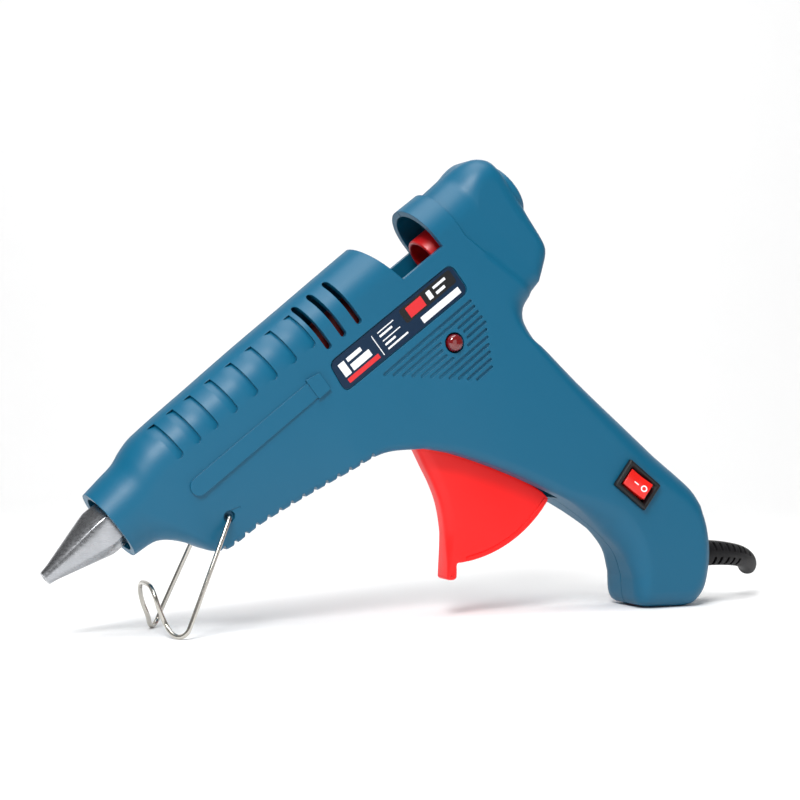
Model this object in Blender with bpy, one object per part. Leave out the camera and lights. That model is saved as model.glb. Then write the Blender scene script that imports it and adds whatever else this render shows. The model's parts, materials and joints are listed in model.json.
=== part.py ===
"""Hot-melt glue gun, built as a clamshell housing with its heater, feed, trigger, switch and stand.

Sizes are in millimetres and degrees; makeNode turns them into metres.
+Z is up, the nozzle points towards -X, and -Y is the side with the switch.
"s" runs back along the stick's axis from the nozzle tip, "t" stands up from that axis.
"""
import math

import bmesh
import bpy
from mathutils import Matrix, Vector

# Driving dimensions
MM = 0.001
CENTRE_X = 15.904           # moves the origin under the middle of the object
BARREL_TILT = 38.4          # stick axis above the ground
NOZZLE_TIP = (-118.2, 19.3)  # x, z of the tip's centre
WALL = 2.2
SEAM = 0.15                 # each half stops this far from the middle plane
INSET = 0.2                 # posts and rings inside stop this far from it
GAP = 0.3                   # between pieces that touch on the real tool
STICK_BORE = 6.2            # radius, for an 11 mm glue stick

BRANCH_S = 160.0            # where barrel, rear tube and handle meet
REAR_S = 184.0              # centre of the rear tube's rounded end
REAR_FACE_S = 199.2
WINDOW = ((142.1, 30.0), (142.1, 19.1), (146.6, 2.6), (164.9, 2.6), (163.9, 30.0))
OPEN_VENTS = (112.7, 119.2, 126.0)
VENT_REACH = (0.6, 16.2)
VENT_WIDTH = 3.0

TRIGGER_PIVOT = (15.2, 64.6)
TRIGGER_RADIUS = 46.5
TRIGGER_WIDTH = 4.6         # half its thickness
TRIGGER_SLOT = 5.6          # half the slot's width

ARM_PIN = (137.4, -20.8)    # s, t of the link's front pin
CLAW_PIVOT = (171.5, -11.5)
LINK_REAR_PIN = (169.5, -19.5)
CARRIAGE = (162.2, 181.5)
LINK_SIDE = (3.2, 4.7)      # inner and outer face of a link plate

STAND_PIVOT = (-63.7, 36.9)
STAND_WIRE = 0.75           # radius
STAND_SIDE = 12.8           # where the legs run, outside the housing

SWITCH_CENTRE = (84.1, 43.7)
SWITCH_TILT = 37.5          # long axis falls to the rear by this much
SWITCH_FACE = -13.4         # y of the handle's side under the bezel
BEZEL = (15.3, 10.9)
ROCKER_THROW = 20.0
LAMP_CENTRE = (148.6, -24.9)
LAMP_FACE = -13.2
PLATE_FLOOR = -12.7
GLAND = (118.2, 17.5)       # x, z where the cord's boot leaves the butt

SCREW_PLACES = {            # x, z of each housing screw, and how deep its post reaches into the wall
    "housing_screw_1": (-49.4, 42.0, 10.6),
    "housing_screw_2": (-12.4, 61.5, 11.9),
    "housing_screw_3": (37.5, 122.3, 11.6),
    "housing_screw_4": (66.5, 60.8, 12.1),
    "housing_screw_5": (99.5, 38.6, 11.6),
    "housing_screw_6": (93.2, 9.8, 11.6),
}
SCREW_SEAT = 8.9            # y under the screws' heads
CLAMP_SCREW_Z = (8.6, 23.2)
CLAMP_X = 103.0

# Colour, roughness and metallic value of each material slot
MATERIALS = {
    "housing_blue": ((0.010, 0.150, 0.296), 0.45, 0.0),
    "aluminium": ((0.78, 0.78, 0.79), 0.30, 1.0),
    "spring_steel": ((0.62, 0.60, 0.57), 0.25, 1.0),
    "zinc_steel": ((0.55, 0.56, 0.58), 0.35, 1.0),
    "brass": ((0.72, 0.52, 0.20), 0.30, 1.0),
    "ceramic": ((0.80, 0.78, 0.72), 0.60, 0.0),
    "trigger_red": ((0.80, 0.012, 0.010), 0.35, 0.0),
    "carriage_red": ((0.50, 0.008, 0.008), 0.35, 0.0),
    "sleeve_red": ((0.42, 0.015, 0.012), 0.60, 0.0),
    "support_tan": ((0.30, 0.17, 0.08), 0.70, 0.0),
    "black_plastic": ((0.012, 0.012, 0.013), 0.35, 0.0),
    "rocker_red": ((0.80, 0.012, 0.010), 0.25, 0.0),
    "lamp_red": ((0.20, 0.002, 0.004), 0.10, 0.0),
    "boot_rubber": ((0.020, 0.020, 0.022), 0.60, 0.0),
    "lead_white": ((0.70, 0.70, 0.68), 0.50, 0.0),
    "plate_navy": ((0.003, 0.018, 0.048), 0.40, 0.0),
}

# Edges of the housing's section: half-width of the flat rim, reach and rise of the rounding
ROUND = (0.0, 13.4, 13.4)
BELLY_FRONT = (7.2, 2.0, 2.0)
BELLY = (10.5, 2.0, 2.0)
UNDERSIDE = (10.0, 3.5, 3.5)
GRIP = (2.5, 10.0, 11.0)
BUTT = (7.0, 6.0, 6.5)
REAR_FACE = (9.0, 5.5, 5.5)

TOP_LINE = [(24.5, 12.2), (31.2, 13.1), (37.0, 13.9), (41.5, 15.6), (47.0, 16.9), (72.0, 17.8),
            (91.0, 18.4), (110.0, 18.7), (125.0, 19.0), (145.0, 19.3), (162.0, 19.2)]
BELLY_LINE = [(24.5, 12.2), (31.6, 13.0), (34.5, 14.3), (37.3, 16.9), (40.5, 21.1), (43.2, 25.7),
              (45.8, 28.0), (49.8, 29.2), (62.4, 29.8), (93.2, 35.2), (107.1, 38.2), (119.7, 46.5)]
WIDTH_LINE = [(24.5, 12.2), (37.0, 12.8), (47.0, 13.2), (72.0, 13.4), (110.0, 13.4), (160.0, 13.4)]
SPINE = [(7.2, 118.7), (33.0, 84.0), (52.0, 66.0), (72.0, 50.0), (90.0, 34.0), (100.0, 18.0)]
SPINE_WIDTH = [(0.0, 13.4), (1.0, 13.4)]
GRIP_BACK = [(43.3, 102.2), (43.9, 98.4), (48.1, 92.4), (52.8, 89.1), (66.4, 77.6), (87.6, 60.5),
             (105.3, 46.0), (110.6, 41.0), (113.5, 36.4)]
GRIP_FRONT = [(4.5, 57.2), (16.2, 55.1), (32.4, 49.9), (48.0, 43.6), (61.8, 37.0), (74.4, 28.0),
              (82.8, 19.6), (86.2, 11.2)]
BUTT_LINE = [(113.5, 36.4), (116.5, 28.0), (117.7, 18.2), (115.9, 7.5), (112.4, 2.2), (108.2, 0.2),
             (97.0, 0.2), (89.6, 0.8), (87.0, 3.4), (86.2, 11.2)]
REAR_LINE = [(REAR_S, 17.8), (190.0, 18.2), (194.8, 17.4), (198.0, 15.0), (REAR_FACE_S, 11.5), (REAR_FACE_S, 0.0),
             (198.6, -10.0), (197.9, -19.8), (196.2, -23.4), (192.4, -26.4), (188.4, -29.2)]
REAR_UNDER = [(188.4, -29.2), (184.2, -31.0), (181.0, -32.7), (178.9, -34.6)]


# Places and curves
def tiltVectors():
    angle = math.radians(BARREL_TILT)
    along = Vector((math.cos(angle), math.sin(angle)))
    return along, Vector((-along.y, along.x))


def at(s, t):
    """x, z of a point given along and above the stick's axis."""
    along, above = tiltVectors()
    return Vector(NOZZLE_TIP) + along * s + above * t


def lerpTable(table, value):
    for (left, low), (right, high) in zip(table, table[1:]):
        if value <= right:
            share = max(0.0, (value - left) / (right - left))
            return low + (high - low) * share
    return table[-1][1]


def smoothTable(table, value):
    """Cubic through the table's points, with the slopes of their neighbours."""
    count = len(table)
    index = max(i for i in range(count - 1) if table[i][0] <= value or i == 0)
    (x0, y0), (x1, y1) = table[index], table[index + 1]
    before = table[max(index - 1, 0)]
    after = table[min(index + 2, count - 1)]
    slope0 = (y1 - before[1]) / (x1 - before[0])
    slope1 = (after[1] - y0) / (after[0] - x0)
    width = x1 - x0
    u = min(1.0, max(0.0, (value - x0) / width))
    return ((2 * u**3 - 3 * u**2 + 1) * y0 + (u**3 - 2 * u**2 + u) * width * slope0
            + (3 * u**2 - 2 * u**3) * y1 + (u**3 - u**2) * width * slope1)


def splinePoints(points, count):
    """Evenly spaced points on a Catmull-Rom curve through the given ones."""
    knots = [Vector(p) for p in points]
    padded = [knots[0] * 2 - knots[1]] + knots + [knots[-1] * 2 - knots[-2]]
    dense = []
    steps = 24
    for i in range(len(knots) - 1):
        a, b, c, d = padded[i:i + 4]
        for j in range(steps):
            u = j / steps
            dense.append(0.5 * (2 * b + (c - a) * u + (2 * a - 5 * b + 4 * c - d) * u**2
                                + (3 * b - a - 3 * c + d) * u**3))
    dense.append(knots[-1])
    lengths = [0.0]
    for p, q in zip(dense, dense[1:]):
        lengths.append(lengths[-1] + (q - p).length)
    result = []
    for i in range(count):
        target = lengths[-1] * i / (count - 1)
        k = min(len(dense) - 2, max(j for j in range(len(dense)) if lengths[j] <= target + 1e-9))
        span = lengths[k + 1] - lengths[k]
        result.append(dense[k].lerp(dense[k + 1], (target - lengths[k]) / span if span else 0.0))
    return result


def blendEdge(first, second, share):
    return tuple(a + (b - a) * share for a, b in zip(first, second))


# Solids that are added to a bmesh
def addPrism(bm, outline, y0, y1):
    """Extrudes an x, z outline from y0 to y1."""
    low, high = sorted((y0, y1))
    verts = [bm.verts.new((x, low, z)) for x, z in outline]
    face = bm.faces.new(verts)
    extruded = bmesh.ops.extrude_face_region(bm, geom=[face])
    moved = [v for v in extruded["geom"] if isinstance(v, bmesh.types.BMVert)]
    bmesh.ops.translate(bm, verts=moved, vec=(0.0, high - low, 0.0))


def addRod(bm, start, end, radius, endRadius=None, segments=16):
    """A cylinder or cone between two points."""
    start, end = Vector(start), Vector(end)
    axis = end - start
    turn = axis.to_track_quat("Z", "Y").to_matrix().to_4x4()
    place = Matrix.Translation((start + end) / 2) @ turn
    bmesh.ops.create_cone(bm, cap_ends=True, segments=segments, radius1=radius,
                          radius2=radius if endRadius is None else endRadius,
                          depth=axis.length, matrix=place)


def addPost(bm, place, radius, y0, y1, segments=16):
    """A cylinder along Y at the given x, z."""
    addRod(bm, (place[0], y0, place[1]), (place[0], y1, place[1]), radius, segments=segments)


def addTurned(bm, profile, segments, turn=0.0):
    """Spins a closed x, radius profile once around the X axis."""
    rings = []
    for i in range(segments):
        angle = 2 * math.pi * i / segments + turn
        rings.append([bm.verts.new((x, r * math.cos(angle), r * math.sin(angle))) for x, r in profile])
    for first, second in zip(rings, rings[1:] + rings[:1]):
        for j in range(len(profile)):
            k = (j + 1) % len(profile)
            bm.faces.new((first[j], first[k], second[k], second[j]))


def sweepTube(bm, points, radii, segments, bores=None):
    """A round tube along points, solid or with a bore."""
    points = [Vector(p) for p in points]
    side = Vector((0.0, 0.0, 1.0))
    outer, inner = [], []
    for i, point in enumerate(points):
        tangent = (points[min(i + 1, len(points) - 1)] - points[max(i - 1, 0)]).normalized()
        if i == 0 and abs(tangent.z) > 0.9:
            side = Vector((1.0, 0.0, 0.0))
        side = (side - tangent * side.dot(tangent)).normalized()
        across = tangent.cross(side)
        spokes = [side * math.cos(2 * math.pi * j / segments) + across * math.sin(2 * math.pi * j / segments)
                  for j in range(segments)]
        outer.append([bm.verts.new(point + spoke * radii[i]) for spoke in spokes])
        if bores:
            inner.append([bm.verts.new(point + spoke * bores[i]) for spoke in spokes])
    loops = outer + inner[::-1]
    if bores:
        loops.append(outer[0])
    for first, second in zip(loops, loops[1:]):
        for j in range(segments):
            k = (j + 1) % segments
            bm.faces.new((first[j], first[k], second[k], second[j]))
    if not bores:
        bm.faces.new(outer[0])
        bm.faces.new(outer[-1])


def capsule(start, end, radius, steps=6):
    """x, z outline of a bar with round ends."""
    start, end = Vector(start), Vector(end)
    heading = math.atan2((end - start).y, (end - start).x)
    outline = []
    for centre, base in ((end, heading - math.pi / 2), (start, heading + math.pi / 2)):
        for i in range(steps + 1):
            angle = base + math.pi * i / steps
            outline.append((centre.x + radius * math.cos(angle), centre.y + radius * math.sin(angle)))
    return outline


def rectangle(centre, size, tilt):
    """x, z outline of a box whose first side falls by the tilt."""
    along = Vector((math.cos(math.radians(tilt)), -math.sin(math.radians(tilt))))
    across = Vector((-along.y, along.x))
    middle = Vector(centre)
    corners = ((-1, -1), (1, -1), (1, 1), (-1, 1))
    return [tuple(middle + along * (size[0] / 2 * a) + across * (size[1] / 2 * b)) for a, b in corners]


# Objects
def makeMaterial(slot):
    colour, roughness, metallic = MATERIALS[slot]
    material = bpy.data.materials.new(slot)
    material.use_nodes = True
    shader = material.node_tree.nodes["Principled BSDF"]
    shader.inputs["Base Color"].default_value = (*colour, 1.0)
    shader.inputs["Roughness"].default_value = roughness
    shader.inputs["Metallic"].default_value = metallic
    return material


def makeEmpty(name, parent, place=(0.0, 0.0), tilt=0.0):
    empty = bpy.data.objects.new(name, None)
    bpy.context.collection.objects.link(empty)
    empty.parent = parent
    empty.location = (place[0] * MM, 0.0, place[1] * MM)
    empty.rotation_euler = (0.0, -math.radians(tilt), 0.0)
    return empty


def makeNode(name, bm, slot, frame, origin=(0.0, 0.0)):
    """Turns a bmesh in the frame's millimetres into an object whose origin is at x, z in that frame."""
    bmesh.ops.recalc_face_normals(bm, faces=bm.faces)
    bmesh.ops.translate(bm, verts=bm.verts, vec=(-origin[0], 0.0, -origin[1]))
    bmesh.ops.scale(bm, verts=bm.verts, vec=(MM, MM, MM))
    mesh = bpy.data.meshes.new(name)
    bm.to_mesh(mesh)
    bm.free()
    mesh.shade_smooth()
    mesh.set_sharp_from_angle(angle=math.radians(35))
    piece = bpy.data.objects.new(name, mesh)
    bpy.context.collection.objects.link(piece)
    piece.parent = frame
    piece.location = (origin[0] * MM, 0.0, origin[1] * MM)
    if slot:
        piece.data.materials.append(materials[slot])
    return piece


def applyShape(piece, bm, operation):
    """Adds a boolean whose cutter holds the bmesh's solids."""
    label = f"{piece.name}_{operation.lower()}_{len(piece.modifiers)}"
    cutter = makeNode(label, bm, None, piece.parent)
    cutter.hide_render = True
    cutter.display_type = "WIRE"
    modifier = piece.modifiers.new(label, "BOOLEAN")
    modifier.operation = operation
    modifier.object = cutter


# Housing: ribs run from the outline to a line inside it, where both sides of the outline meet
def housingRibs():
    """Outline point, inner point, inner width and edge of each rib, clockwise from the nose's top."""
    ribs = []
    branch = at(BRANCH_S, 0.0)

    stations = [24.5, 28, 31.5, 34.5, 37.5, 40, 42.5, 45, 48, 53, 60, 70, 80, 92, 104, 114, 124, 134, 142, 150, BRANCH_S]
    top, bottom = [], []
    for s in stations:
        width = smoothTable(WIDTH_LINE, s)
        inner = at(s, 0.0)
        top.append((at(s, smoothTable(TOP_LINE, s)), inner, width, ROUND))
        lean = s if s < 90.0 else 90.0 + (s - 90.0) * (BELLY_LINE[-1][0] - 90.0) / (BRANCH_S - 90.0)
        if s < 48.0:
            edge = blendEdge(ROUND, BELLY_FRONT, min(1.0, max(0.0, (s - 31.5) / (48.0 - 31.5))))
        else:
            edge = blendEdge(BELLY_FRONT, BELLY, min(1.0, (s - 48.0) / 60.0))
        bottom.append((at(lean, -smoothTable(BELLY_LINE, lean)), inner, width, edge))
    ribs += top

    rearStations = [162.0, 168.0, 173.8, 174.2, 179.0, REAR_S]
    rearTop = [(162.0, 19.2), (164.0, 18.7), (173.8, 18.6), (174.2, 17.3), (REAR_S, 17.8)]
    rearWidth = [(162.0, 13.4), (173.8, 13.3), (174.2, 12.7), (REAR_S, 12.5)]
    under = splinePoints(REAR_UNDER, len(rearStations) + 1)[:-1]
    for s in rearStations:
        ribs.append((at(s, lerpTable(rearTop, s)), at(s, 0.0), lerpTable(rearWidth, s), ROUND))
    rearPoints = splinePoints(REAR_LINE, 16)
    for i, point in enumerate(rearPoints[1:-1], start=1):
        share = min(1.0, i / 5)
        edge = blendEdge(ROUND, REAR_FACE, share)
        ribs.append((at(*point), at(REAR_S, 0.0), rearWidth[-1][1], edge))
    for s, point in zip(rearStations[::-1], under):
        edge = blendEdge(REAR_FACE, GRIP, (REAR_S - s) / (REAR_S - 162.0))
        ribs.append((at(*point), at(s, 0.0), lerpTable(rearWidth, s), edge))

    count = 16
    back, front = splinePoints(GRIP_BACK, count), splinePoints(GRIP_FRONT, count)
    spine = splinePoints(SPINE, count)
    frontEdges = [(0.0, BELLY), (0.35, UNDERSIDE), (0.6, UNDERSIDE), (0.8, GRIP), (1.0, BUTT)]
    for i in range(count):
        share = i / (count - 1)
        edge = blendEdge(GRIP, BUTT, max(0.0, share * 4 - 3))
        inner = branch if i == 0 else spine[i]
        ribs.append((back[i], inner, lerpTable(SPINE_WIDTH, share), edge))
    for point in splinePoints(BUTT_LINE, 18)[1:-1]:
        ribs.append((point, spine[-1], SPINE_WIDTH[-1][1], BUTT))
    for i in reversed(range(1, count)):
        share = i / (count - 1)
        for (low, first), (high, second) in zip(frontEdges, frontEdges[1:]):
            if low <= share <= high:
                edge = blendEdge(first, second, (share - low) / (high - low))
        ribs.append((front[i], spine[i], lerpTable(SPINE_WIDTH, share), edge))
    return ribs + bottom[::-1]


def ribHeights(outline, inner, width, edge, rows):
    """Points of one rib as x, z and height over the middle plane."""
    flat, reach, rise = edge
    length = (inner - outline).length
    reach = min(reach, length)
    rise = min(rise, width - flat)
    points = [(outline, SEAM)]
    for row in range(rows + 1):
        share = 1 - math.cos(math.pi / 2 * row / rows)
        corner = min(1.0, share * length / reach)
        height = flat + rise * math.sqrt(max(0.0, 1 - (1 - corner)**2)) \
            + (width - flat - rise) * (1 - (1 - share)**2)
        points.append((outline.lerp(inner, share), max(height, SEAM)))
    return points


def housingShell(side):
    """One closed half of the clamshell; side is -1 or 1 along Y."""
    rows = 7
    ribs = housingRibs()
    outlines = [rib[0] for rib in ribs]
    bm = bmesh.new()
    outer, inner = [], []
    for i, (outline, middle, width, edge) in enumerate(ribs):
        heading = outlines[min(i + 1, len(ribs) - 1)] - outlines[max(i - 1, 0)]
        inward = Vector((heading.y, -heading.x)).normalized()
        flat, reach, rise = edge
        innerRise = max(min(rise, width - flat) - WALL, GAP)
        innerEdge = (flat + min(rise, width - flat) - WALL - innerRise, max(reach - WALL, GAP), innerRise)
        for target, start, reachWidth, section in (
                (outer, outline, width, edge),
                (inner, outline + inward * WALL, width - WALL, innerEdge)):
            points = ribHeights(start, middle, reachWidth, section, rows)
            target.append([bm.verts.new((p.x, side * h, p.y)) for p, h in points])
    for first, second in zip(range(len(ribs) - 1), range(1, len(ribs))):
        for row in range(rows + 1):
            bm.faces.new((outer[first][row], outer[second][row], outer[second][row + 1], outer[first][row + 1]))
            bm.faces.new((inner[first][row + 1], inner[second][row + 1], inner[second][row], inner[first][row]))
        bm.faces.new((inner[first][0], inner[second][0], outer[second][0], outer[first][0]))
    for i in (0, len(ribs) - 1):
        for row in range(rows + 1):
            bm.faces.new((outer[i][row], outer[i][row + 1], inner[i][row + 1], inner[i][row]))
    bmesh.ops.remove_doubles(bm, verts=bm.verts, dist=0.01)
    bmesh.ops.dissolve_degenerate(bm, edges=bm.edges, dist=0.005)
    bmesh.ops.triangulate(bm, faces=bm.faces)
    return bm


def stickLine(s, y=0.0, t=0.0):
    point = at(s, t)
    return (point.x, y, point.y)


def makeHousing(name, side):
    piece = makeNode(name, housingShell(side), "housing_blue", gun)

    added = bmesh.new()
    for x, z, depth in SCREW_PLACES.values():
        addPost(added, (x, z), 4.2, side * INSET, side * depth)
    addPost(added, TRIGGER_PIVOT, 4.2, side * 9.6, side * 11.9)
    ledge = [tuple(at(s, t)) for s, t in ((143.0, -10.2), (178.0, -10.2), (178.0, -8.4), (143.0, -8.4))]
    addPrism(added, ledge, side * 5.3, side * 12.2)
    if side < 0:
        for z in CLAMP_SCREW_Z:
            addPost(added, (CLAMP_X, z), 2.6, -11.9, 3.0)
    applyShape(piece, added, "UNION")

    guide = [tuple(at(s, t)) for s, t in ((184.7, -11.0), (187.2, -11.0), (187.2, 13.0), (184.7, 13.0))]
    ring = bmesh.new()
    addPrism(ring, guide, side * INSET, side * 11.6)
    applyShape(piece, ring, "UNION")

    boss = bmesh.new()
    addRod(boss, stickLine(REAR_FACE_S - 1.8, 0.0, 1.2), stickLine(REAR_FACE_S + 1.8, 0.0, 1.2), 10.7, segments=32)
    bmesh.ops.bisect_plane(boss, geom=boss.verts[:] + boss.edges[:] + boss.faces[:],
                           plane_co=(0.0, side * INSET, 0.0), plane_no=(0.0, side, 0.0), clear_inner=True)
    bmesh.ops.holes_fill(boss, edges=boss.edges)
    applyShape(piece, boss, "UNION")

    cuts = bmesh.new()
    addPrism(cuts, [tuple(at(*p)) for p in WINDOW], -25.0, 25.0)
    addRod(cuts, stickLine(182.5), stickLine(210.0), 6.6, segments=24)
    addPrism(cuts, [(-1.5, 62.0), (-1.5, 50.0), (30.0, 43.0), (57.5, 30.0), (62.6, 37.0),
                    (60.0, 46.0), (35.0, 56.0), (12.0, 61.5)], -TRIGGER_SLOT, TRIGGER_SLOT)
    addRod(cuts, (GLAND[0] - 8.0, 0.0, GLAND[1]), (GLAND[0] + 8.0, 0.0, GLAND[1]), 5.0, segments=24)
    addPost(cuts, STAND_PIVOT, 0.86, side * 7.0, side * 20.0)
    addPost(cuts, TRIGGER_PIVOT, 2.05, side * 9.0, side * 11.3)
    for x, z, depth in SCREW_PLACES.values():
        addPost(cuts, (x, z), 1.7, *((-1.0, SCREW_SEAT) if side > 0 else (-9.5, 1.0)))
    if side < 0:
        low, high = VENT_REACH
        for s in OPEN_VENTS:
            half = VENT_WIDTH / 2
            slot = ((s - half, high), (s - half, low), (s + half, low), (s + half, high))
            addPrism(cuts, [tuple(at(*p)) for p in slot], -3.0, -24.0)
        switchHole = rectangle(SWITCH_CENTRE, (13.6, 9.3), SWITCH_TILT)
        addPrism(cuts, switchHole, -20.0, -8.0)
        addPost(cuts, tuple(at(*LAMP_CENTRE)), 3.2, -20.0, -7.0)
        for z in CLAMP_SCREW_Z:
            addPost(cuts, (CLAMP_X, z), 1.3, -8.0, 4.0, segments=12)
        plate = [(108.8, -2.6), (163.8, -3.4), (163.7, -14.9), (107.6, -13.8)]
        addPrism(cuts, [tuple(at(*p)) for p in plate], PLATE_FLOOR, -22.0)
    applyShape(piece, cuts, "DIFFERENCE")
    if side > 0:
        heads = bmesh.new()
        for x, z, depth in SCREW_PLACES.values():
            addPost(heads, (x, z), 3.3, SCREW_SEAT - GAP, 24.0)
        applyShape(piece, heads, "DIFFERENCE")
    return piece


# Heating and feed
def makeNozzle():
    bm = bmesh.new()
    profile = [(-0.8, 2.2), (2.5, 2.7), (22.0, 8.1), (29.0, 8.1), (29.0, 5.6), (40.0, 5.6),
               (40.0, 3.6), (10.0, 2.6), (4.0, 1.0), (-0.8, 0.9)]
    addTurned(bm, profile, 6, math.radians(30))
    makeNode("nozzle", bm, "aluminium", barrel)


def makeMeltChamber():
    bm = bmesh.new()
    front, rear = 32.0, 98.0
    profile = [(front, 8.2), (front + 2.0, 8.5), (rear, 8.5), (rear, STICK_BORE), (62.0, STICK_BORE - 0.3),
               (44.0, 6.2), (front, 6.2)]
    addTurned(bm, profile, 20)
    makeNode("melt_chamber", bm, "aluminium", barrel)

    for name, s, radius in (("chamber_support_front", 46.0, 10.9), ("chamber_support_rear", 91.5, 11.0)):
        bm = bmesh.new()
        addTurned(bm, [(s, 8.8), (s, radius), (s + 3.0, radius), (s + 3.0, 8.8)], 20)
        makeNode(name, bm, "support_tan", barrel)

    bm = bmesh.new()
    addPrism(bm, [(54.0, -12.0), (86.0, -12.0), (86.0, -8.9), (54.0, -8.9)], -4.5, 4.5)
    makeNode("heater_ptc", bm, "ceramic", barrel)

    bm = bmesh.new()
    channel = [(-9.8, 1.0), (-9.8, -13.4), (9.8, -13.4), (9.8, 1.0), (8.9, 1.0), (8.9, -12.4),
               (-8.9, -12.4), (-8.9, 1.0)]
    verts = [bm.verts.new((53.0, y, t)) for y, t in channel]
    face = bm.faces.new(verts)
    moved = bmesh.ops.extrude_face_region(bm, geom=[face])["geom"]
    bmesh.ops.translate(bm, verts=[v for v in moved if isinstance(v, bmesh.types.BMVert)], vec=(34.0, 0.0, 0.0))
    makeNode("heater_clamp", bm, "zinc_steel", barrel)


def makeSleeve():
    bm = bmesh.new()
    rear = 140.0
    profile = [(95.0, 8.8), (95.0, 9.9), (104.0, 9.9), (107.0, 8.0), (rear - 3.0, 8.0), (rear, 9.2),
               (rear, 8.2), (rear - 3.0, STICK_BORE), (98.6, STICK_BORE), (98.6, 8.8)]
    addTurned(bm, profile, 20)
    makeNode("stick_sleeve", bm, "sleeve_red", barrel)

    bm = bmesh.new()
    addTurned(bm, [(98.0, 10.2), (98.0, 11.0), (102.5, 11.0), (102.5, 10.2)], 20)
    makeNode("sleeve_clamp", bm, "zinc_steel", barrel)


def makeCarriage():
    bm = bmesh.new()
    front, rear = CARRIAGE
    addTurned(bm, [(front, STICK_BORE), (front, 7.7), (rear, 7.7), (rear, STICK_BORE)], 24)
    piece = makeNode("feed_carriage", bm, "carriage_red", barrel)
    ears = bmesh.new()
    for side in (-1, 1):
        addPrism(ears, [(166.0, -7.0), (168.0, -14.4), (175.0, -14.4), (177.5, -7.0)], side * 1.4, side * 3.0)
    applyShape(piece, ears, "UNION")
    cuts = bmesh.new()
    addPost(cuts, CLAW_PIVOT, 1.45, -4.0, 4.0)
    addPrism(cuts, [(163.0, -9.0), (176.5, -9.0), (176.5, -4.0), (163.0, -4.0)], -1.35, 1.35)
    applyShape(piece, cuts, "DIFFERENCE")


def makeClaw():
    bm = bmesh.new()
    outline = [(163.7, -6.7), (166.1, -6.3), (167.7, -6.9), (169.1, -6.4), (173.0, -8.0), (174.5, -11.0),
               (173.7, -14.2), (172.3, -18.4), (170.1, -22.0), (166.9, -20.6), (167.1, -17.0), (168.5, -11.6)]
    addPrism(bm, outline, -1.0, 1.0)
    piece = makeNode("gripper_claw", bm, "zinc_steel", barrel, CLAW_PIVOT)
    cuts = bmesh.new()
    addPost(cuts, CLAW_PIVOT, 1.45, -2.0, 2.0)
    addPost(cuts, LINK_REAR_PIN, 1.45, -2.0, 2.0)
    applyShape(piece, cuts, "DIFFERENCE")

    bm = bmesh.new()
    addPost(bm, CLAW_PIVOT, 1.35, -3.6, 3.6, segments=12)
    makeNode("claw_pin", bm, "zinc_steel", barrel, CLAW_PIVOT)

    bm = bmesh.new()
    addPost(bm, LINK_REAR_PIN, 1.35, -5.0, 5.0, segments=12)
    makeNode("link_rear_pin", bm, "zinc_steel", barrel, CLAW_PIVOT)


def makeLinks():
    for name, side in (("feed_link_left", -1), ("feed_link_right", 1)):
        bm = bmesh.new()
        addPrism(bm, capsule(ARM_PIN, LINK_REAR_PIN, 3.2), side * LINK_SIDE[0], side * LINK_SIDE[1])
        piece = makeNode(name, bm, "zinc_steel", barrel, ARM_PIN)
        cuts = bmesh.new()
        addPost(cuts, ARM_PIN, 1.6, side * 2.0, side * 6.0)
        addPost(cuts, LINK_REAR_PIN, 2.2, side * 2.0, side * 6.0)
        applyShape(piece, cuts, "DIFFERENCE")


# Trigger
def arcPoints(centre, radius, first, last, steps):
    angles = [math.radians(first + (last - first) * i / steps) for i in range(steps + 1)]
    return [(centre[0] + radius * math.cos(a), centre[1] + radius * math.sin(a)) for a in angles]


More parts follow.
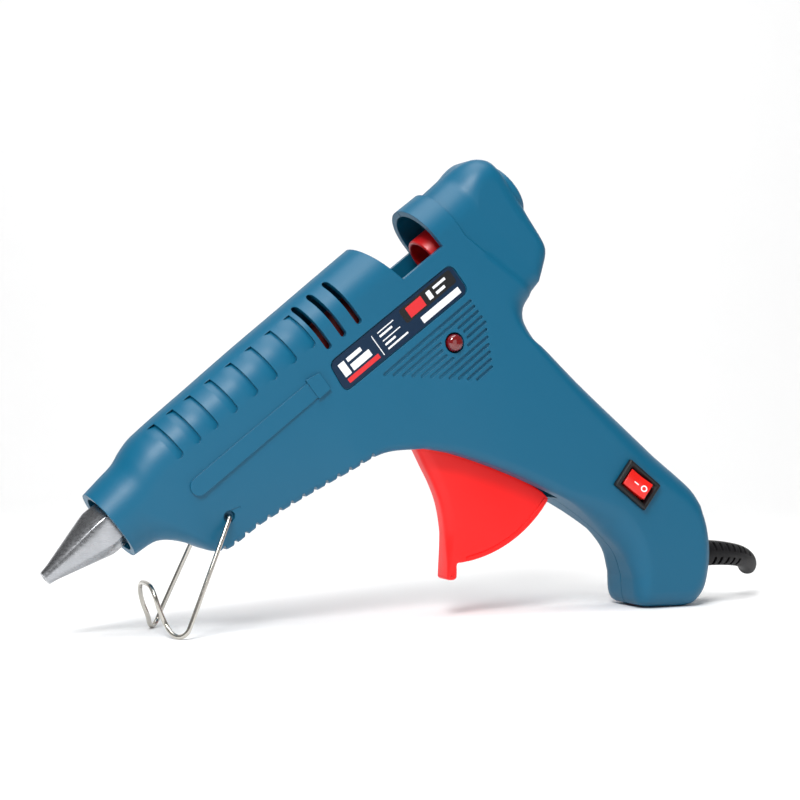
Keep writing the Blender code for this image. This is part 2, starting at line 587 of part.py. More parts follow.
def makeTrigger():
    frontEdge = splinePoints([(4.0, 58.5), (7.7, 51.4), (11.3, 44.6), (13.9, 37.8), (15.4, 29.3),
                              (15.8, 20.0), (15.7, 13.6)], 13)
    rim = arcPoints(TRIGGER_PIVOT, TRIGGER_RADIUS, -82.0, -33.0, 14)
    hub = [(20.0, 62.5), (15.2, 69.0), (10.5, 64.6)]
    bm = bmesh.new()
    core = [tuple(p) for p in frontEdge] + [(17.0, 12.8), (18.8, 12.8), (19.6, 13.6), (19.8, 17.0)] + rim + hub
    addPrism(bm, core, -TRIGGER_WIDTH + 2.0, TRIGGER_WIDTH - 2.0)
    piece = makeNode("trigger", bm, "trigger_red", gun, TRIGGER_PIVOT)

    cheeks = bmesh.new()
    edge = [(p.x + 1.3, p.y + 0.4) for p in frontEdge]
    cheek = edge + [(19.5, 14.2), (19.9, 16.0)] + rim[1:-1] + [(52.0, 41.5), (19.0, 60.5), (13.0, 62.5)]
    addPrism(cheeks, cheek, -TRIGGER_WIDTH, TRIGGER_WIDTH)
    applyShape(piece, cheeks, "UNION")

    lip = bmesh.new()
    lipInner = arcPoints(TRIGGER_PIVOT, TRIGGER_RADIUS - 1.7, -34.0, -80.5, 14)
    addPrism(lip, arcPoints(TRIGGER_PIVOT, TRIGGER_RADIUS - 0.1, -80.5, -34.0, 14) + lipInner,
             -TRIGGER_WIDTH - 0.4, TRIGGER_WIDTH + 0.4)
    applyShape(piece, lip, "UNION")

    arm = bmesh.new()
    addPrism(arm, capsule(TRIGGER_PIVOT, tuple(at(*ARM_PIN)), 4.4), -2.9, 2.9)
    applyShape(piece, arm, "UNION")
    hub = bmesh.new()
    addPost(hub, TRIGGER_PIVOT, 4.6, -5.2, 5.2, segments=20)
    applyShape(piece, hub, "UNION")
    cuts = bmesh.new()
    addPost(cuts, TRIGGER_PIVOT, 2.05, -8.0, 8.0)
    addPost(cuts, tuple(at(*ARM_PIN)), 1.6, -8.0, 8.0)
    applyShape(piece, cuts, "DIFFERENCE")

    bm = bmesh.new()
    addPost(bm, TRIGGER_PIVOT, 1.95, -11.0, 11.0)
    makeNode("trigger_pin", bm, "zinc_steel", gun, TRIGGER_PIVOT)

    bm = bmesh.new()
    addPost(bm, tuple(at(*ARM_PIN)), 1.5, -5.2, 5.2, segments=12)
    makeNode("link_front_pin", bm, "zinc_steel", gun, TRIGGER_PIVOT)

    bm = bmesh.new()
    turns, perTurn, radius, wire = 3, 10, 5.5, 0.45
    points = [(TRIGGER_PIVOT[0] - 9.5, 5.9, TRIGGER_PIVOT[1] + radius)]
    for i in range(turns * perTurn + 1):
        angle = math.pi / 2 - 2 * math.pi * i / perTurn
        points.append((TRIGGER_PIVOT[0] + radius * math.cos(angle), 5.9 + 1.05 * i / perTurn,
                       TRIGGER_PIVOT[1] + radius * math.sin(angle)))
    points.append((TRIGGER_PIVOT[0] + 9.5, points[-1][1], TRIGGER_PIVOT[1] + radius))
    sweepTube(bm, points, [wire] * len(points), 6)
    makeNode("trigger_spring", bm, "spring_steel", gun, TRIGGER_PIVOT)


# Stand
def standPath():
    """Half of the wire, from its hooked end to the apex, as x, y, z."""
    x, z = STAND_PIVOT
    hook = [(x, 8.6, z), (x, STAND_SIDE - 0.9, z), (x - 0.5, STAND_SIDE - 0.1, z - 0.9)]
    foot = splinePoints([(-77.3, 16.6, 5.6), (-78.8, 16.4, 2.2), (-80.6, 14.6, 0.8), (-82.4, 12.2, 1.6),
                         (-83.8, 9.6, 4.6)], 9)
    apex = splinePoints([(-86.7, 3.0, 12.4), (-87.2, 1.6, 14.6), (-87.3, 0.0, 15.4)], 5)
    return hook + [tuple(p) for p in foot] + [tuple(p) for p in apex]


def makeStand():
    half = standPath()
    path = [(x, -y, z) for x, y, z in half[:-1]] + half[::-1]
    bm = bmesh.new()
    sweepTube(bm, path, [STAND_WIRE] * len(path), 8)
    makeNode("stand_wire", bm, "spring_steel", gun, STAND_PIVOT)


# Switch, lamp and cord entry
def makeSwitch():
    bm = bmesh.new()
    addPrism(bm, rectangle(SWITCH_CENTRE, BEZEL, SWITCH_TILT), SWITCH_FACE - 0.1, SWITCH_FACE - 1.9)
    piece = makeNode("switch_body", bm, "black_plastic", gun, SWITCH_CENTRE)
    shell = bmesh.new()
    addPrism(shell, rectangle(SWITCH_CENTRE, (12.9, 8.6), SWITCH_TILT), SWITCH_FACE - 0.5, SWITCH_FACE + 11.5)
    applyShape(piece, shell, "UNION")
    well = bmesh.new()
    addPrism(well, rectangle(SWITCH_CENTRE, (11.2, 7.0), SWITCH_TILT), SWITCH_FACE - 4.0, SWITCH_FACE + 5.2)
    applyShape(piece, well, "DIFFERENCE")

    makeRocker()
    for name, place in (("switch_terminal_1", -3.2), ("switch_terminal_2", 3.2)):
        bm = bmesh.new()
        angle = math.radians(SWITCH_TILT)
        centre = (SWITCH_CENTRE[0] + place * math.cos(angle), SWITCH_CENTRE[1] - place * math.sin(angle))
        addPrism(bm, rectangle(centre, (0.8, 4.8), SWITCH_TILT), SWITCH_FACE + 11.8, SWITCH_FACE + 18.5)
        makeNode(name, bm, "brass", gun)


def makeRocker():
    """The rocker's pivot is at SWITCH_CENTRE, 1.6 mm inside the handle's side."""
    angle = math.radians(SWITCH_TILT)
    along = Vector((math.cos(angle), 0.0, -math.sin(angle)))
    across = Vector((math.sin(angle), 0.0, math.cos(angle)))
    centre = Vector((SWITCH_CENTRE[0], SWITCH_FACE + 1.6, SWITCH_CENTRE[1]))
    section = [(-4.6, -2.2), (-4.8, 4.0), (0.0, 3.4), (4.8, 4.0), (4.6, -2.2), (0.0, -2.9)]
    rest = math.radians(ROCKER_THROW / 2)
    section = [(a * math.cos(rest) - h * math.sin(rest), a * math.sin(rest) + h * math.cos(rest))
               for a, h in section]
    bm = bmesh.new()
    verts = [bm.verts.new(centre + along * a - Vector((0.0, h, 0.0)) - across * 3.1) for a, h in section]
    face = bm.faces.new(verts)
    moved = bmesh.ops.extrude_face_region(bm, geom=[face])["geom"]
    bmesh.ops.translate(bm, verts=[v for v in moved if isinstance(v, bmesh.types.BMVert)], vec=across * 6.2)
    makeNode("switch_rocker", bm, "rocker_red", gun, SWITCH_CENTRE)


def makeLamp():
    place = at(*LAMP_CENTRE)
    bm = bmesh.new()
    profile = [(-5.4, 0.0), (-5.4, 1.8), (-10.4, 1.8), (-10.4, 2.85), (LAMP_FACE - 0.4, 2.85),
               (LAMP_FACE - 1.2, 2.3), (LAMP_FACE - 1.8, 1.2), (LAMP_FACE - 2.0, 0.0)]
    verts = [bm.verts.new((place.x + r, y, place.y)) for y, r in profile]
    for pair in zip(verts, verts[1:]):
        bm.edges.new(pair)
    bmesh.ops.spin(bm, geom=bm.verts[:] + bm.edges[:], cent=(place.x, 0.0, place.y), axis=(0.0, 1.0, 0.0),
                   angle=2 * math.pi, steps=16, use_merge=True)
    bmesh.ops.remove_doubles(bm, verts=bm.verts, dist=0.01)
    makeNode("lamp_lens", bm, "lamp_red", gun)

    bm = bmesh.new()
    addPost(bm, place, 3.4, -9.2, -5.8)
    piece = makeNode("lamp_holder", bm, "black_plastic", gun)
    bore = bmesh.new()
    addPost(bore, place, 2.1, -10.4, -4.6)
    applyShape(piece, bore, "DIFFERENCE")


def bootPath():
    x, z = GLAND
    return splinePoints([(x, 0.0, z), (x + 5.7, 0.0, z), (x + 13.1, 0.8, z - 0.6), (x + 20.5, 3.0, z - 1.8),
                         (x + 26.0, 6.0, z - 3.6), (x + 29.4, 9.0, z - 5.6), (x + 30.8, 11.4, z - 7.2)], 18)


def makeStrainRelief():
    bm = bmesh.new()
    x, z = GLAND
    path = [(x - 6.4, 0.0, z), (x - 4.4, 0.0, z), (x - 4.3, 0.0, z), (x - 0.2, 0.0, z), (x + 0.2, 0.0, z),
            (x + 0.9, 0.0, z), (x + 1.8, 0.0, z), (x + 2.4, 0.0, z)]
    radii = [6.4, 6.4, 4.6, 4.6, 6.6, 6.4, 5.5, 4.9]
    boot = [tuple(p) for p in bootPath()[2:]]
    radii += [4.7 - 1.4 * i / (len(boot) - 1) for i in range(len(boot))]
    path += boot
    sweepTube(bm, path, radii, 16, [2.8] * len(path))
    makeNode("strain_relief", bm, "boot_rubber", gun)


def makeCordClamp():
    low, high = CLAMP_SCREW_Z
    bm = bmesh.new()
    bar = [(CLAMP_X - 3.0, low - 3.0), (CLAMP_X + 3.0, low - 3.0), (CLAMP_X + 3.0, high + 3.0),
           (CLAMP_X - 3.0, high + 3.0)]
    addPrism(bm, bar, 3.3, 6.4)
    piece = makeNode("cord_clamp", bm, "black_plastic", gun)
    cuts = bmesh.new()
    for z in CLAMP_SCREW_Z:
        addPost(cuts, (CLAMP_X, z), 1.3, 2.0, 8.0, segments=12)
    applyShape(piece, cuts, "DIFFERENCE")


def makeScrew(name, place, seat, tip, shaft, head, headHeight):
    """A pan-head screw along Y, with its head's underside at the seat."""
    bm = bmesh.new()
    profile = [(seat + headHeight, 0.0), (seat + headHeight, head * 0.7), (seat + headHeight * 0.5, head),
               (seat, head), (seat, shaft), (tip + shaft, shaft), (tip, 0.0)]
    verts = [bm.verts.new((place[0] + r, y, place[1])) for y, r in profile]
    for pair in zip(verts, verts[1:]):
        bm.edges.new(pair)
    bmesh.ops.spin(bm, geom=bm.verts[:] + bm.edges[:], cent=(place[0], 0.0, place[1]), axis=(0.0, 1.0, 0.0),
                   angle=2 * math.pi, steps=12, use_merge=True)
    bmesh.ops.remove_doubles(bm, verts=bm.verts, dist=0.01)
    makeNode(name, bm, "zinc_steel", gun)


def makeLeads():
    """Insulated leads from the cord clamp to the heater, beside the trigger."""
    heater = at(90.0, -11.0)
    route = [(98.0, 28.0), (80.0, 44.0), (60.0, 54.0), (44.0, 74.0), (30.0, 88.0), (4.0, 90.0), (-26.0, 66.0)]
    for name, y in (("lead_live", 7.9), ("lead_neutral", 10.0)):
        bm = bmesh.new()
        points = [(x, y, z) for x, z in route] + [(heater.x, y - 1.0, heater.y - 4.0)]
        path = splinePoints(points, 30)
        sweepTube(bm, path, [0.9] * len(path), 6)
        makeNode(name, bm, "lead_white", gun)


def makeNamePlate():
    bm = bmesh.new()
    plate = [(109.2, -3.0), (163.4, -3.8), (163.3, -14.5), (108.0, -13.4)]
    addPrism(bm, plate, PLATE_FLOOR - 0.1, PLATE_FLOOR - 0.45)
    makeNode("name_plate", bm, "plate_navy", barrel)


for existing in list(bpy.data.objects):
    bpy.data.objects.remove(existing, do_unlink=True)

materials = {slot: makeMaterial(slot) for slot in MATERIALS}
gun = makeEmpty("gun_frame", None, (-CENTRE_X, 0.0))
barrel = makeEmpty("barrel_frame", gun, NOZZLE_TIP, BARREL_TILT)

makeHousing("housing_left", -1)
makeHousing("housing_right", 1)
makeNozzle()
makeMeltChamber()
makeSleeve()
makeCarriage()
makeClaw()
makeLinks()
makeTrigger()
makeStand()
makeSwitch()
makeLamp()
makeStrainRelief()
makeCordClamp()
for screwName, screwPlace in SCREW_PLACES.items():
    makeScrew(screwName, screwPlace, SCREW_SEAT, -8.6, 1.45, 2.8, 2.0)
for index, screwZ in enumerate(CLAMP_SCREW_Z, start=1):
    makeScrew(f"clamp_screw_{index}", (CLAMP_X, screwZ), 6.6, -6.5, 1.1, 2.1, 1.5)
makeLeads()
makeNamePlate()
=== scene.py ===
import json
import math

import bmesh
import bpy
from mathutils import Matrix, Vector


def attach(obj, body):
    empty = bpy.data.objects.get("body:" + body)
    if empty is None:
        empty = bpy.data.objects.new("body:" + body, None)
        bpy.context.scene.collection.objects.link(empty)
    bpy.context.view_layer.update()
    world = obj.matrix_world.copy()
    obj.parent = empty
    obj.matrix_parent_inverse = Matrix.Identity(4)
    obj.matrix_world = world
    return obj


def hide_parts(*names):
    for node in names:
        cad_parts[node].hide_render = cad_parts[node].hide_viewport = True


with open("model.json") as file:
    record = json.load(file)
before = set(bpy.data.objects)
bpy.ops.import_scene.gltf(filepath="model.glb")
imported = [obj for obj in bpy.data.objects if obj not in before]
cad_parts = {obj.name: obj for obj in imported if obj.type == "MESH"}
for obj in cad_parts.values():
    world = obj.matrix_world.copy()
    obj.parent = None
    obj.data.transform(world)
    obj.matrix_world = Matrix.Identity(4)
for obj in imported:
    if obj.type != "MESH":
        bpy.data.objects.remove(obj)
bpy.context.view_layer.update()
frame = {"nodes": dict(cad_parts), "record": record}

# Lengths below are in millimetres in the tool's own frame: "s" runs back along the stick's axis from the
# nozzle tip, "t" stands up from that axis, and -y is the side with the switch.
gun = {
    "millimetre": 0.001,
    "centreX": 15.904,          # the tool's own x at the middle of the CAD box
    "barrelTilt": 38.4,
    "nozzleTip": (-118.2, 19.3),
    "wall": 2.2,
    "seam": 0.15,
}

camera = {"lens": 74.5, "azimuth": -24.6, "distance": 552.5, "height": 73.2}


def placeCamera():
    data = bpy.data.cameras.new("camera")
    data.lens = camera["lens"]
    data.sensor_width = 36.0
    piece = bpy.data.objects.new("camera", data)
    bpy.context.scene.collection.objects.link(piece)
    turn = math.radians(camera["azimuth"])
    unit = gun["millimetre"]
    piece.location = ((math.sin(turn) * camera["distance"] - gun["centreX"]) * unit,
                      -math.cos(turn) * camera["distance"] * unit, camera["height"] * unit)
    piece.rotation_euler = (math.pi / 2, 0.0, turn)
    bpy.context.scene.camera = piece


placeCamera()
print("camera placed")


# Curves and places
def at(s, t):
    tilt = math.radians(gun["barrelTilt"])
    along, above = Vector((math.cos(tilt), math.sin(tilt))), Vector((-math.sin(tilt), math.cos(tilt)))
    return Vector(gun["nozzleTip"]) + along * s + above * t


def placed(points):
    return [at(*point) for point in points]


def spot(s, y=0.0, t=0.0):
    point = at(s, t)
    return Vector((point.x, y, point.y))


def lerpTable(table, value):
    for (left, low), (right, high) in zip(table, table[1:]):
        if value <= right:
            return low + (high - low) * max(0.0, (value - left) / (right - left))
    return table[-1][1]


def smoothTable(table, value):
    count = len(table)
    index = max(i for i in range(count - 1) if table[i][0] <= value or i == 0)
    (x0, y0), (x1, y1) = table[index], table[index + 1]
    before, after = table[max(index - 1, 0)], table[min(index + 2, count - 1)]
    slope0 = (y1 - before[1]) / (x1 - before[0])
    slope1 = (after[1] - y0) / (after[0] - x0)
    width = x1 - x0
    u = min(1.0, max(0.0, (value - x0) / width))
    return ((2 * u**3 - 3 * u**2 + 1) * y0 + (u**3 - 2 * u**2 + u) * width * slope0
            + (3 * u**2 - 2 * u**3) * y1 + (u**3 - u**2) * width * slope1)


def splinePoints(points, count):
    knots = [Vector(p) for p in points]
    padded = [knots[0] * 2 - knots[1]] + knots + [knots[-1] * 2 - knots[-2]]
    dense = []
    steps = 32
    for i in range(len(knots) - 1):
        a, b, c, d = padded[i:i + 4]
        for j in range(steps):
            u = j / steps
            dense.append(0.5 * (2 * b + (c - a) * u + (2 * a - 5 * b + 4 * c - d) * u**2
                                + (3 * b - a - 3 * c + d) * u**3))
    dense.append(knots[-1])
    lengths = [0.0]
    for p, q in zip(dense, dense[1:]):
        lengths.append(lengths[-1] + (q - p).length)
    result = []
    k = 0
    for i in range(count):
        target = lengths[-1] * i / (count - 1)
        while k < len(dense) - 2 and lengths[k + 1] < target:
            k += 1
        span = lengths[k + 1] - lengths[k]
        result.append(dense[k].lerp(dense[k + 1], (target - lengths[k]) / span if span else 0.0))
    return result


def refine(values, fine):
    result = []
    for low, high in zip(values, values[1:]):
        result += [low + (high - low) * i / fine for i in range(fine)]
    return result + [values[-1]]


def blendEdge(first, second, share):
    return tuple(a + (b - a) * share for a, b in zip(first, second))


# Mesh helpers
def toTable(bm):
    bmesh.ops.recalc_face_normals(bm, faces=bm.faces)
    bmesh.ops.translate(bm, verts=bm.verts, vec=(-gun["centreX"], 0.0, 0.0))
    bmesh.ops.scale(bm, verts=bm.verts, vec=(gun["millimetre"],) * 3)


def makePiece(name, bm, body, material, replaced=(), sharp=32.0):
    toTable(bm)
    mesh = bpy.data.meshes.new(name)
    bm.to_mesh(mesh)
    bm.free()
    piece = bpy.data.objects.new(name, mesh)
    bpy.context.scene.collection.objects.link(piece)
    smooth(piece, sharp)
    mesh.materials.append(material)
    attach(piece, body)
    if replaced:
        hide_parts(*replaced)
    return piece


def smooth(piece, sharp=32.0):
    piece.data.shade_smooth()
    piece.data.set_sharp_from_angle(angle=math.radians(sharp))


def makeTool(bm):
    toTable(bm)
    mesh = bpy.data.meshes.new("tool")
    bm.to_mesh(mesh)
    bm.free()
    tool = bpy.data.objects.new("tool", mesh)
    bpy.context.scene.collection.objects.link(tool)
    return tool


def carve(piece, tool, operation="DIFFERENCE"):
    if isinstance(tool, bmesh.types.BMesh):
        tool = makeTool(tool)
    modifier = piece.modifiers.new("carve", "BOOLEAN")
    modifier.operation = operation
    modifier.solver = "MANIFOLD"
    modifier.object = tool
    graph = bpy.context.evaluated_depsgraph_get()
    shape = bpy.data.meshes.new_from_object(piece.evaluated_get(graph))
    piece.modifiers.clear()
    before, piece.data = piece.data, shape
    shape.name = piece.name
    shape.materials.clear()               # the tool's faces take the piece's own finish
    for material in before.materials:
        shape.materials.append(material)
    shape.polygons.foreach_set("material_index", [0] * len(shape.polygons))
    bpy.data.meshes.remove(before)
    bpy.data.meshes.remove(tool.data)
    smooth(piece)


def addPrism(bm, outline, y0, y1):
    low, high = sorted((y0, y1))
    face = bm.faces.new([bm.verts.new((x, low, z)) for x, z in outline])
    moved = bmesh.ops.extrude_face_region(bm, geom=[face])["geom"]
    top = [v for v in moved if isinstance(v, bmesh.types.BMVert)]
    bmesh.ops.translate(bm, verts=top, vec=(0.0, high - low, 0.0))
    return top


def carvePrism(piece, outline, y0, y1, operation="DIFFERENCE"):
    tool = bmesh.new()
    addPrism(tool, outline, y0, y1)
    carve(piece, tool, operation)


def addRod(bm, start, end, radius, endRadius=None, segments=48):
    start, end = Vector(start), Vector(end)
    axis = end - start
    place = Matrix.Translation((start + end) / 2) @ axis.to_track_quat("Z", "Y").to_matrix().to_4x4()
    bmesh.ops.create_cone(bm, cap_ends=True, segments=segments, radius1=radius,
                          radius2=radius if endRadius is None else endRadius, depth=axis.length, matrix=place)


def addPost(bm, place, radius, y0, y1, segments=40):
    addRod(bm, (place[0], y0, place[1]), (place[0], y1, place[1]), radius, segments=segments)


def addTurned(bm, profile, origin, axis, segments=64, closed=True, side=None):
    # Spins a distance, radius profile about an axis
    axis = Vector(axis).normalized()
    side = side or axis.orthogonal().normalized()
    verts = [bm.verts.new(Vector(origin) + axis * d + side * r) for d, r in profile]
    edges = [bm.edges.new(pair) for pair in zip(verts, verts[1:])]
    if closed:
        edges.append(bm.edges.new((verts[-1], verts[0])))
    bmesh.ops.spin(bm, geom=verts + edges, cent=origin, axis=axis, angle=2 * math.pi, steps=segments,
                   use_merge=True)
    bmesh.ops.remove_doubles(bm, verts=bm.verts, dist=0.002)


def capsule(start, end, radius, steps=10):
    start, end = Vector(start), Vector(end)
    heading = math.atan2((end - start).y, (end - start).x)
    outline = []
    for centre, base in ((end, heading - math.pi / 2), (start, heading + math.pi / 2)):
        for i in range(steps + 1):
            angle = base + math.pi * i / steps
            outline.append(at(centre.x + radius * math.cos(angle), centre.y + radius * math.sin(angle)))
    return outline


def roundCorners(points, radius, steps=5):
    points = [Vector(p) for p in points]
    outline = []
    for i, corner in enumerate(points):
        before = (points[i - 1] - corner).normalized()
        after = (points[(i + 1) % len(points)] - corner).normalized()
        start, end = corner + before * radius, corner + after * radius
        for j in range(steps + 1):
            u = j / steps
            outline.append(start.lerp(corner, u).lerp(corner.lerp(end, u), u))
    return outline


def joinRings(bm, rings):
    # Extrudes the edges of the first ring of places and sets each copy on the next ring
    ring = [bm.verts.new(place) for place in rings[0]]
    edges = [bm.edges.new(pair) for pair in zip(ring, ring[1:] + ring[:1])]
    first = ring
    for places in rings[1:]:
        moved = bmesh.ops.extrude_edge_only(bm, edges=edges)["geom"]
        fresh = {part for part in moved if isinstance(part, bmesh.types.BMVert)}
        edges = [part for part in moved if isinstance(part, bmesh.types.BMEdge)]
        ring = [next(e.other_vert(v) for e in v.link_edges if e.other_vert(v) in fresh) for v in ring]
        for vert, place in zip(ring, places):
            vert.co = place
    return first, ring


def capRings(bm, rings):
    for ring in joinRings(bm, rings):
        bm.faces.new(ring)


def sweepTube(bm, points, radii, segments, bores=None):
    points = [Vector(p) for p in points]
    side = Vector((0.0, 0.0, 1.0))
    outer, inner = [], []
    for i, point in enumerate(points):
        tangent = (points[min(i + 1, len(points) - 1)] - points[max(i - 1, 0)]).normalized()
        if i == 0 and abs(tangent.z) > 0.9:
            side = Vector((1.0, 0.0, 0.0))
        side = (side - tangent * side.dot(tangent)).normalized()
        across = tangent.cross(side)
        spokes = [side * math.cos(2 * math.pi * j / segments) + across * math.sin(2 * math.pi * j / segments)
                  for j in range(segments)]
        outer.append([point + spoke * radii[i] for spoke in spokes])
        if bores:
            inner.append([point + spoke * bores[i] for spoke in spokes])
    if bores:
        joinRings(bm, outer + inner[::-1] + outer[:1])
        bmesh.ops.remove_doubles(bm, verts=bm.verts, dist=0.0005)
    else:
        capRings(bm, outer)


# Materials
def linear(code):
    channels = [int(code[i:i + 2], 16) / 255 for i in (1, 3, 5)]
    return tuple(c / 12.92 if c <= 0.04045 else ((c + 0.055) / 1.055)**2.4 for c in channels) + (1.0,)


def addNode(tree, kind, values=None, links=None, **settings):
    node = tree.nodes.new(kind)
    for name, value in settings.items():
        setattr(node, name, value)
    for name, value in (values or {}).items():
        node.inputs[name].default_value = value
    for name, source in (links or {}).items():
        tree.links.new(source, node.inputs[name])
    return node


def newMaterial(name):
    material = bpy.data.materials.new(name)
    material.use_nodes = True
    tree = material.node_tree
    return material, tree, tree.nodes["Principled BSDF"]


def perMetre(size):
    return 1.0 / (size * gun["millimetre"])


def makePlastic(look):
    # Moulded plastic or rubber: slow colour drift, uneven sheen, fine grain and softened edges
    material, tree, shader = newMaterial(look["name"])
    space = addNode(tree, "ShaderNodeTexCoord").outputs["Object"]
    drift = addNode(tree, "ShaderNodeTexNoise", {"Scale": perMetre(look["drift"]), "Detail": 3.0},
                    {"Vector": space})
    grain = addNode(tree, "ShaderNodeTexNoise", {"Scale": perMetre(look["grain"]), "Detail": 2.0},
                    {"Vector": space})
    speck = addNode(tree, "ShaderNodeTexVoronoi", {"Scale": perMetre(look["grain"] * 2.2)}, {"Vector": space})
    base = linear(look["colour"])
    low = tuple(c * (1 - look["mottle"]) for c in base[:3]) + (1.0,)
    high = tuple(min(1.0, c * (1 + look["mottle"])) for c in base[:3]) + (1.0,)
    tint = addNode(tree, "ShaderNodeMix", {"A": low, "B": high}, {"Factor": drift.outputs["Fac"]},
                   data_type="RGBA")
    tree.links.new(tint.outputs["Result"], shader.inputs["Base Color"])
    sheen = addNode(tree, "ShaderNodeMapRange",
                    {"From Min": 0.3, "From Max": 0.7, "To Min": look["roughness"] - look["spread"],
                     "To Max": look["roughness"] + look["spread"]}, {"Value": grain.outputs["Fac"]})
    tree.links.new(sheen.outputs["Result"], shader.inputs["Roughness"])
    height = addNode(tree, "ShaderNodeMath", {1: 0.35},
                     {0: speck.outputs["Distance"], 2: grain.outputs["Fac"]}, operation="MULTIPLY_ADD")
    edge = addNode(tree, "ShaderNodeBevel", {"Radius": look["edge"] * gun["millimetre"]}, samples=4)
    bump = addNode(tree, "ShaderNodeBump",
                   {"Strength": look["bump"], "Distance": look["depth"] * gun["millimetre"]},
                   {"Height": height.outputs["Value"], "Normal": edge.outputs["Normal"]})
    tree.links.new(bump.outputs["Normal"], shader.inputs["Normal"])
    shader.inputs["Coat Weight"].default_value = look.get("coat", 0.0)
    shader.inputs["Coat Roughness"].default_value = look.get("coatRoughness", 0.1)
    shader.inputs["Specular IOR Level"].default_value = look.get("specular", 0.5)
    return material


def makeMetal(look):
    # Metal with fine lines along one axis and a duller patch here and there
    material, tree, shader = newMaterial(look["name"])
    space = addNode(tree, "ShaderNodeTexCoord").outputs["Object"]
    stretched = addNode(tree, "ShaderNodeMapping", {"Scale": look["stretch"], "Rotation": look["turn"]},
                        {"Vector": space})
    lines = addNode(tree, "ShaderNodeTexNoise", {"Scale": perMetre(look["line"]), "Detail": 4.0},
                    {"Vector": stretched.outputs["Vector"]})
    patches = addNode(tree, "ShaderNodeTexNoise", {"Scale": perMetre(look["patch"]), "Detail": 3.0},
                      {"Vector": space})
    base = linear(look["colour"])
    dull = tuple(c * look["dull"] for c in base[:3]) + (1.0,)
    tint = addNode(tree, "ShaderNodeMix", {"A": base, "B": dull}, {"Factor": patches.outputs["Fac"]},
                   data_type="RGBA")
    tree.links.new(tint.outputs["Result"], shader.inputs["Base Color"])
    sheen = addNode(tree, "ShaderNodeMapRange",
                    {"From Min": 0.3, "From Max": 0.7, "To Min": look["roughness"] - look["spread"],
                     "To Max": look["roughness"] + look["spread"]}, {"Value": lines.outputs["Fac"]})
    tree.links.new(sheen.outputs["Result"], shader.inputs["Roughness"])
    edge = addNode(tree, "ShaderNodeBevel", {"Radius": look["edge"] * gun["millimetre"]}, samples=4)
    bump = addNode(tree, "ShaderNodeBump", {"Strength": look["bump"], "Distance": 0.05 * gun["millimetre"]},
                   {"Height": lines.outputs["Fac"], "Normal": edge.outputs["Normal"]})
    tree.links.new(bump.outputs["Normal"], shader.inputs["Normal"])
    shader.inputs["Metallic"].default_value = 1.0
    return material


# Sizes are in millimetres. A moulded grain is nearer 0.1 mm across, too fine to show, so it is drawn three
# times as coarse or more.
def plastic(name, colour, roughness, **changes):
    look = {"name": name, "colour": colour, "roughness": roughness, "spread": 0.04, "drift": 60.0,
            "mottle": 0.05, "grain": 0.35, "bump": 0.25, "depth": 0.04, "edge": 0.35}
    look.update(changes)
    return look


# Tool lines are a few hundredths of a millimetre apart on the real metal, and are drawn coarse to show.
def metal(name, colour, roughness, **changes):
    look = {"name": name, "colour": colour, "roughness": roughness, "spread": 0.06, "line": 0.6, "patch": 9.0,
            "dull": 0.82, "stretch": (0.08, 1.0, 1.0), "turn": (0.0, math.radians(gun["barrelTilt"]), 0.0),
            "bump": 0.25, "edge": 0.2}
    look.update(changes)
    return look


plastics = {
    # Glass-filled nylon from a grained mould: satin, so highlights are wide and soft
    "housing_blue": plastic("moulded_nylon_blue", "#015a7a", 0.42, drift=90.0, mottle=0.05, grain=0.3,
                            specular=0.38),
    # ABS from a smoother mould: saturated, with a tighter sheen along its rounded edges
    "trigger_red": plastic("moulded_abs_red", "#fa0d0b", 0.36, mottle=0.04, bump=0.12, specular=0.4),
    # Polished polycarbonate tube: a thin gloss over a deep red
    "carriage_red": plastic("moulded_polycarbonate_red", "#c80f12", 0.38, coat=0.15),
    # Silicone-coated glass sleeve: dull, dark and slightly coarse
    "sleeve_red": plastic("coated_glass_sleeve_red", "#6d0806", 0.62, mottle=0.12, grain=0.6),
    # Pressed fibre board: matt and patchy
    "support_tan": plastic("pressed_fibre_board", "#8f6f4c", 0.8, mottle=0.2, grain=0.5, bump=0.5),
    # Black nylon: nearly no colour, and a faint line of light on its edges
    "black_plastic": plastic("moulded_nylon_black", "#141416", 0.4, mottle=0.12, specular=0.35),
    # Highly polished polycarbonate: a crisp, small highlight
    "rocker_red": plastic("polished_polycarbonate_red", "#e01c14", 0.24, coat=0.15, coatRoughness=0.08,
                          bump=0.05, edge=0.45),
    # Clear acrylic lens: mirror-like spot over a dark, glowing red
    "lamp_red": plastic("polished_acrylic_red", "#6d0509", 0.08, coat=1.0, coatRoughness=0.03, bump=0.02,
                        mottle=0.15, drift=3.0),
    # Soft PVC: matt black that never quite goes dark
    "boot_rubber": plastic("moulded_soft_pvc_black", "#131214", 0.55, specular=0.25, mottle=0.15, grain=0.4,
                           drift=8.0, bump=0.35),
    # Extruded PVC sheath: plain and even
    "lead_white": plastic("extruded_pvc_white", "#dcdcd6", 0.5),
    # Polyester film: flat and even, with a faint gloss
    "plate_navy": plastic("printed_polyester_film_navy", "#04233d", 0.38, mottle=0.1, specular=0.3, bump=0.08,
                          edge=0.1),
    # Sintered alumina: chalky and matt
    "ceramic": plastic("sintered_alumina", "#e4e0d4", 0.6, mottle=0.08, grain=0.4, bump=0.4),
    # Screen inks: flat colour with clean edges
    "print_white": plastic("screen_ink_white", "#e9ebee", 0.45, bump=0.05, edge=0.05),
    "print_red": plastic("screen_ink_red", "#d5252b", 0.42, bump=0.05, edge=0.05),
    "print_black": plastic("screen_ink_black", "#08090c", 0.4, bump=0.05, edge=0.05),
}
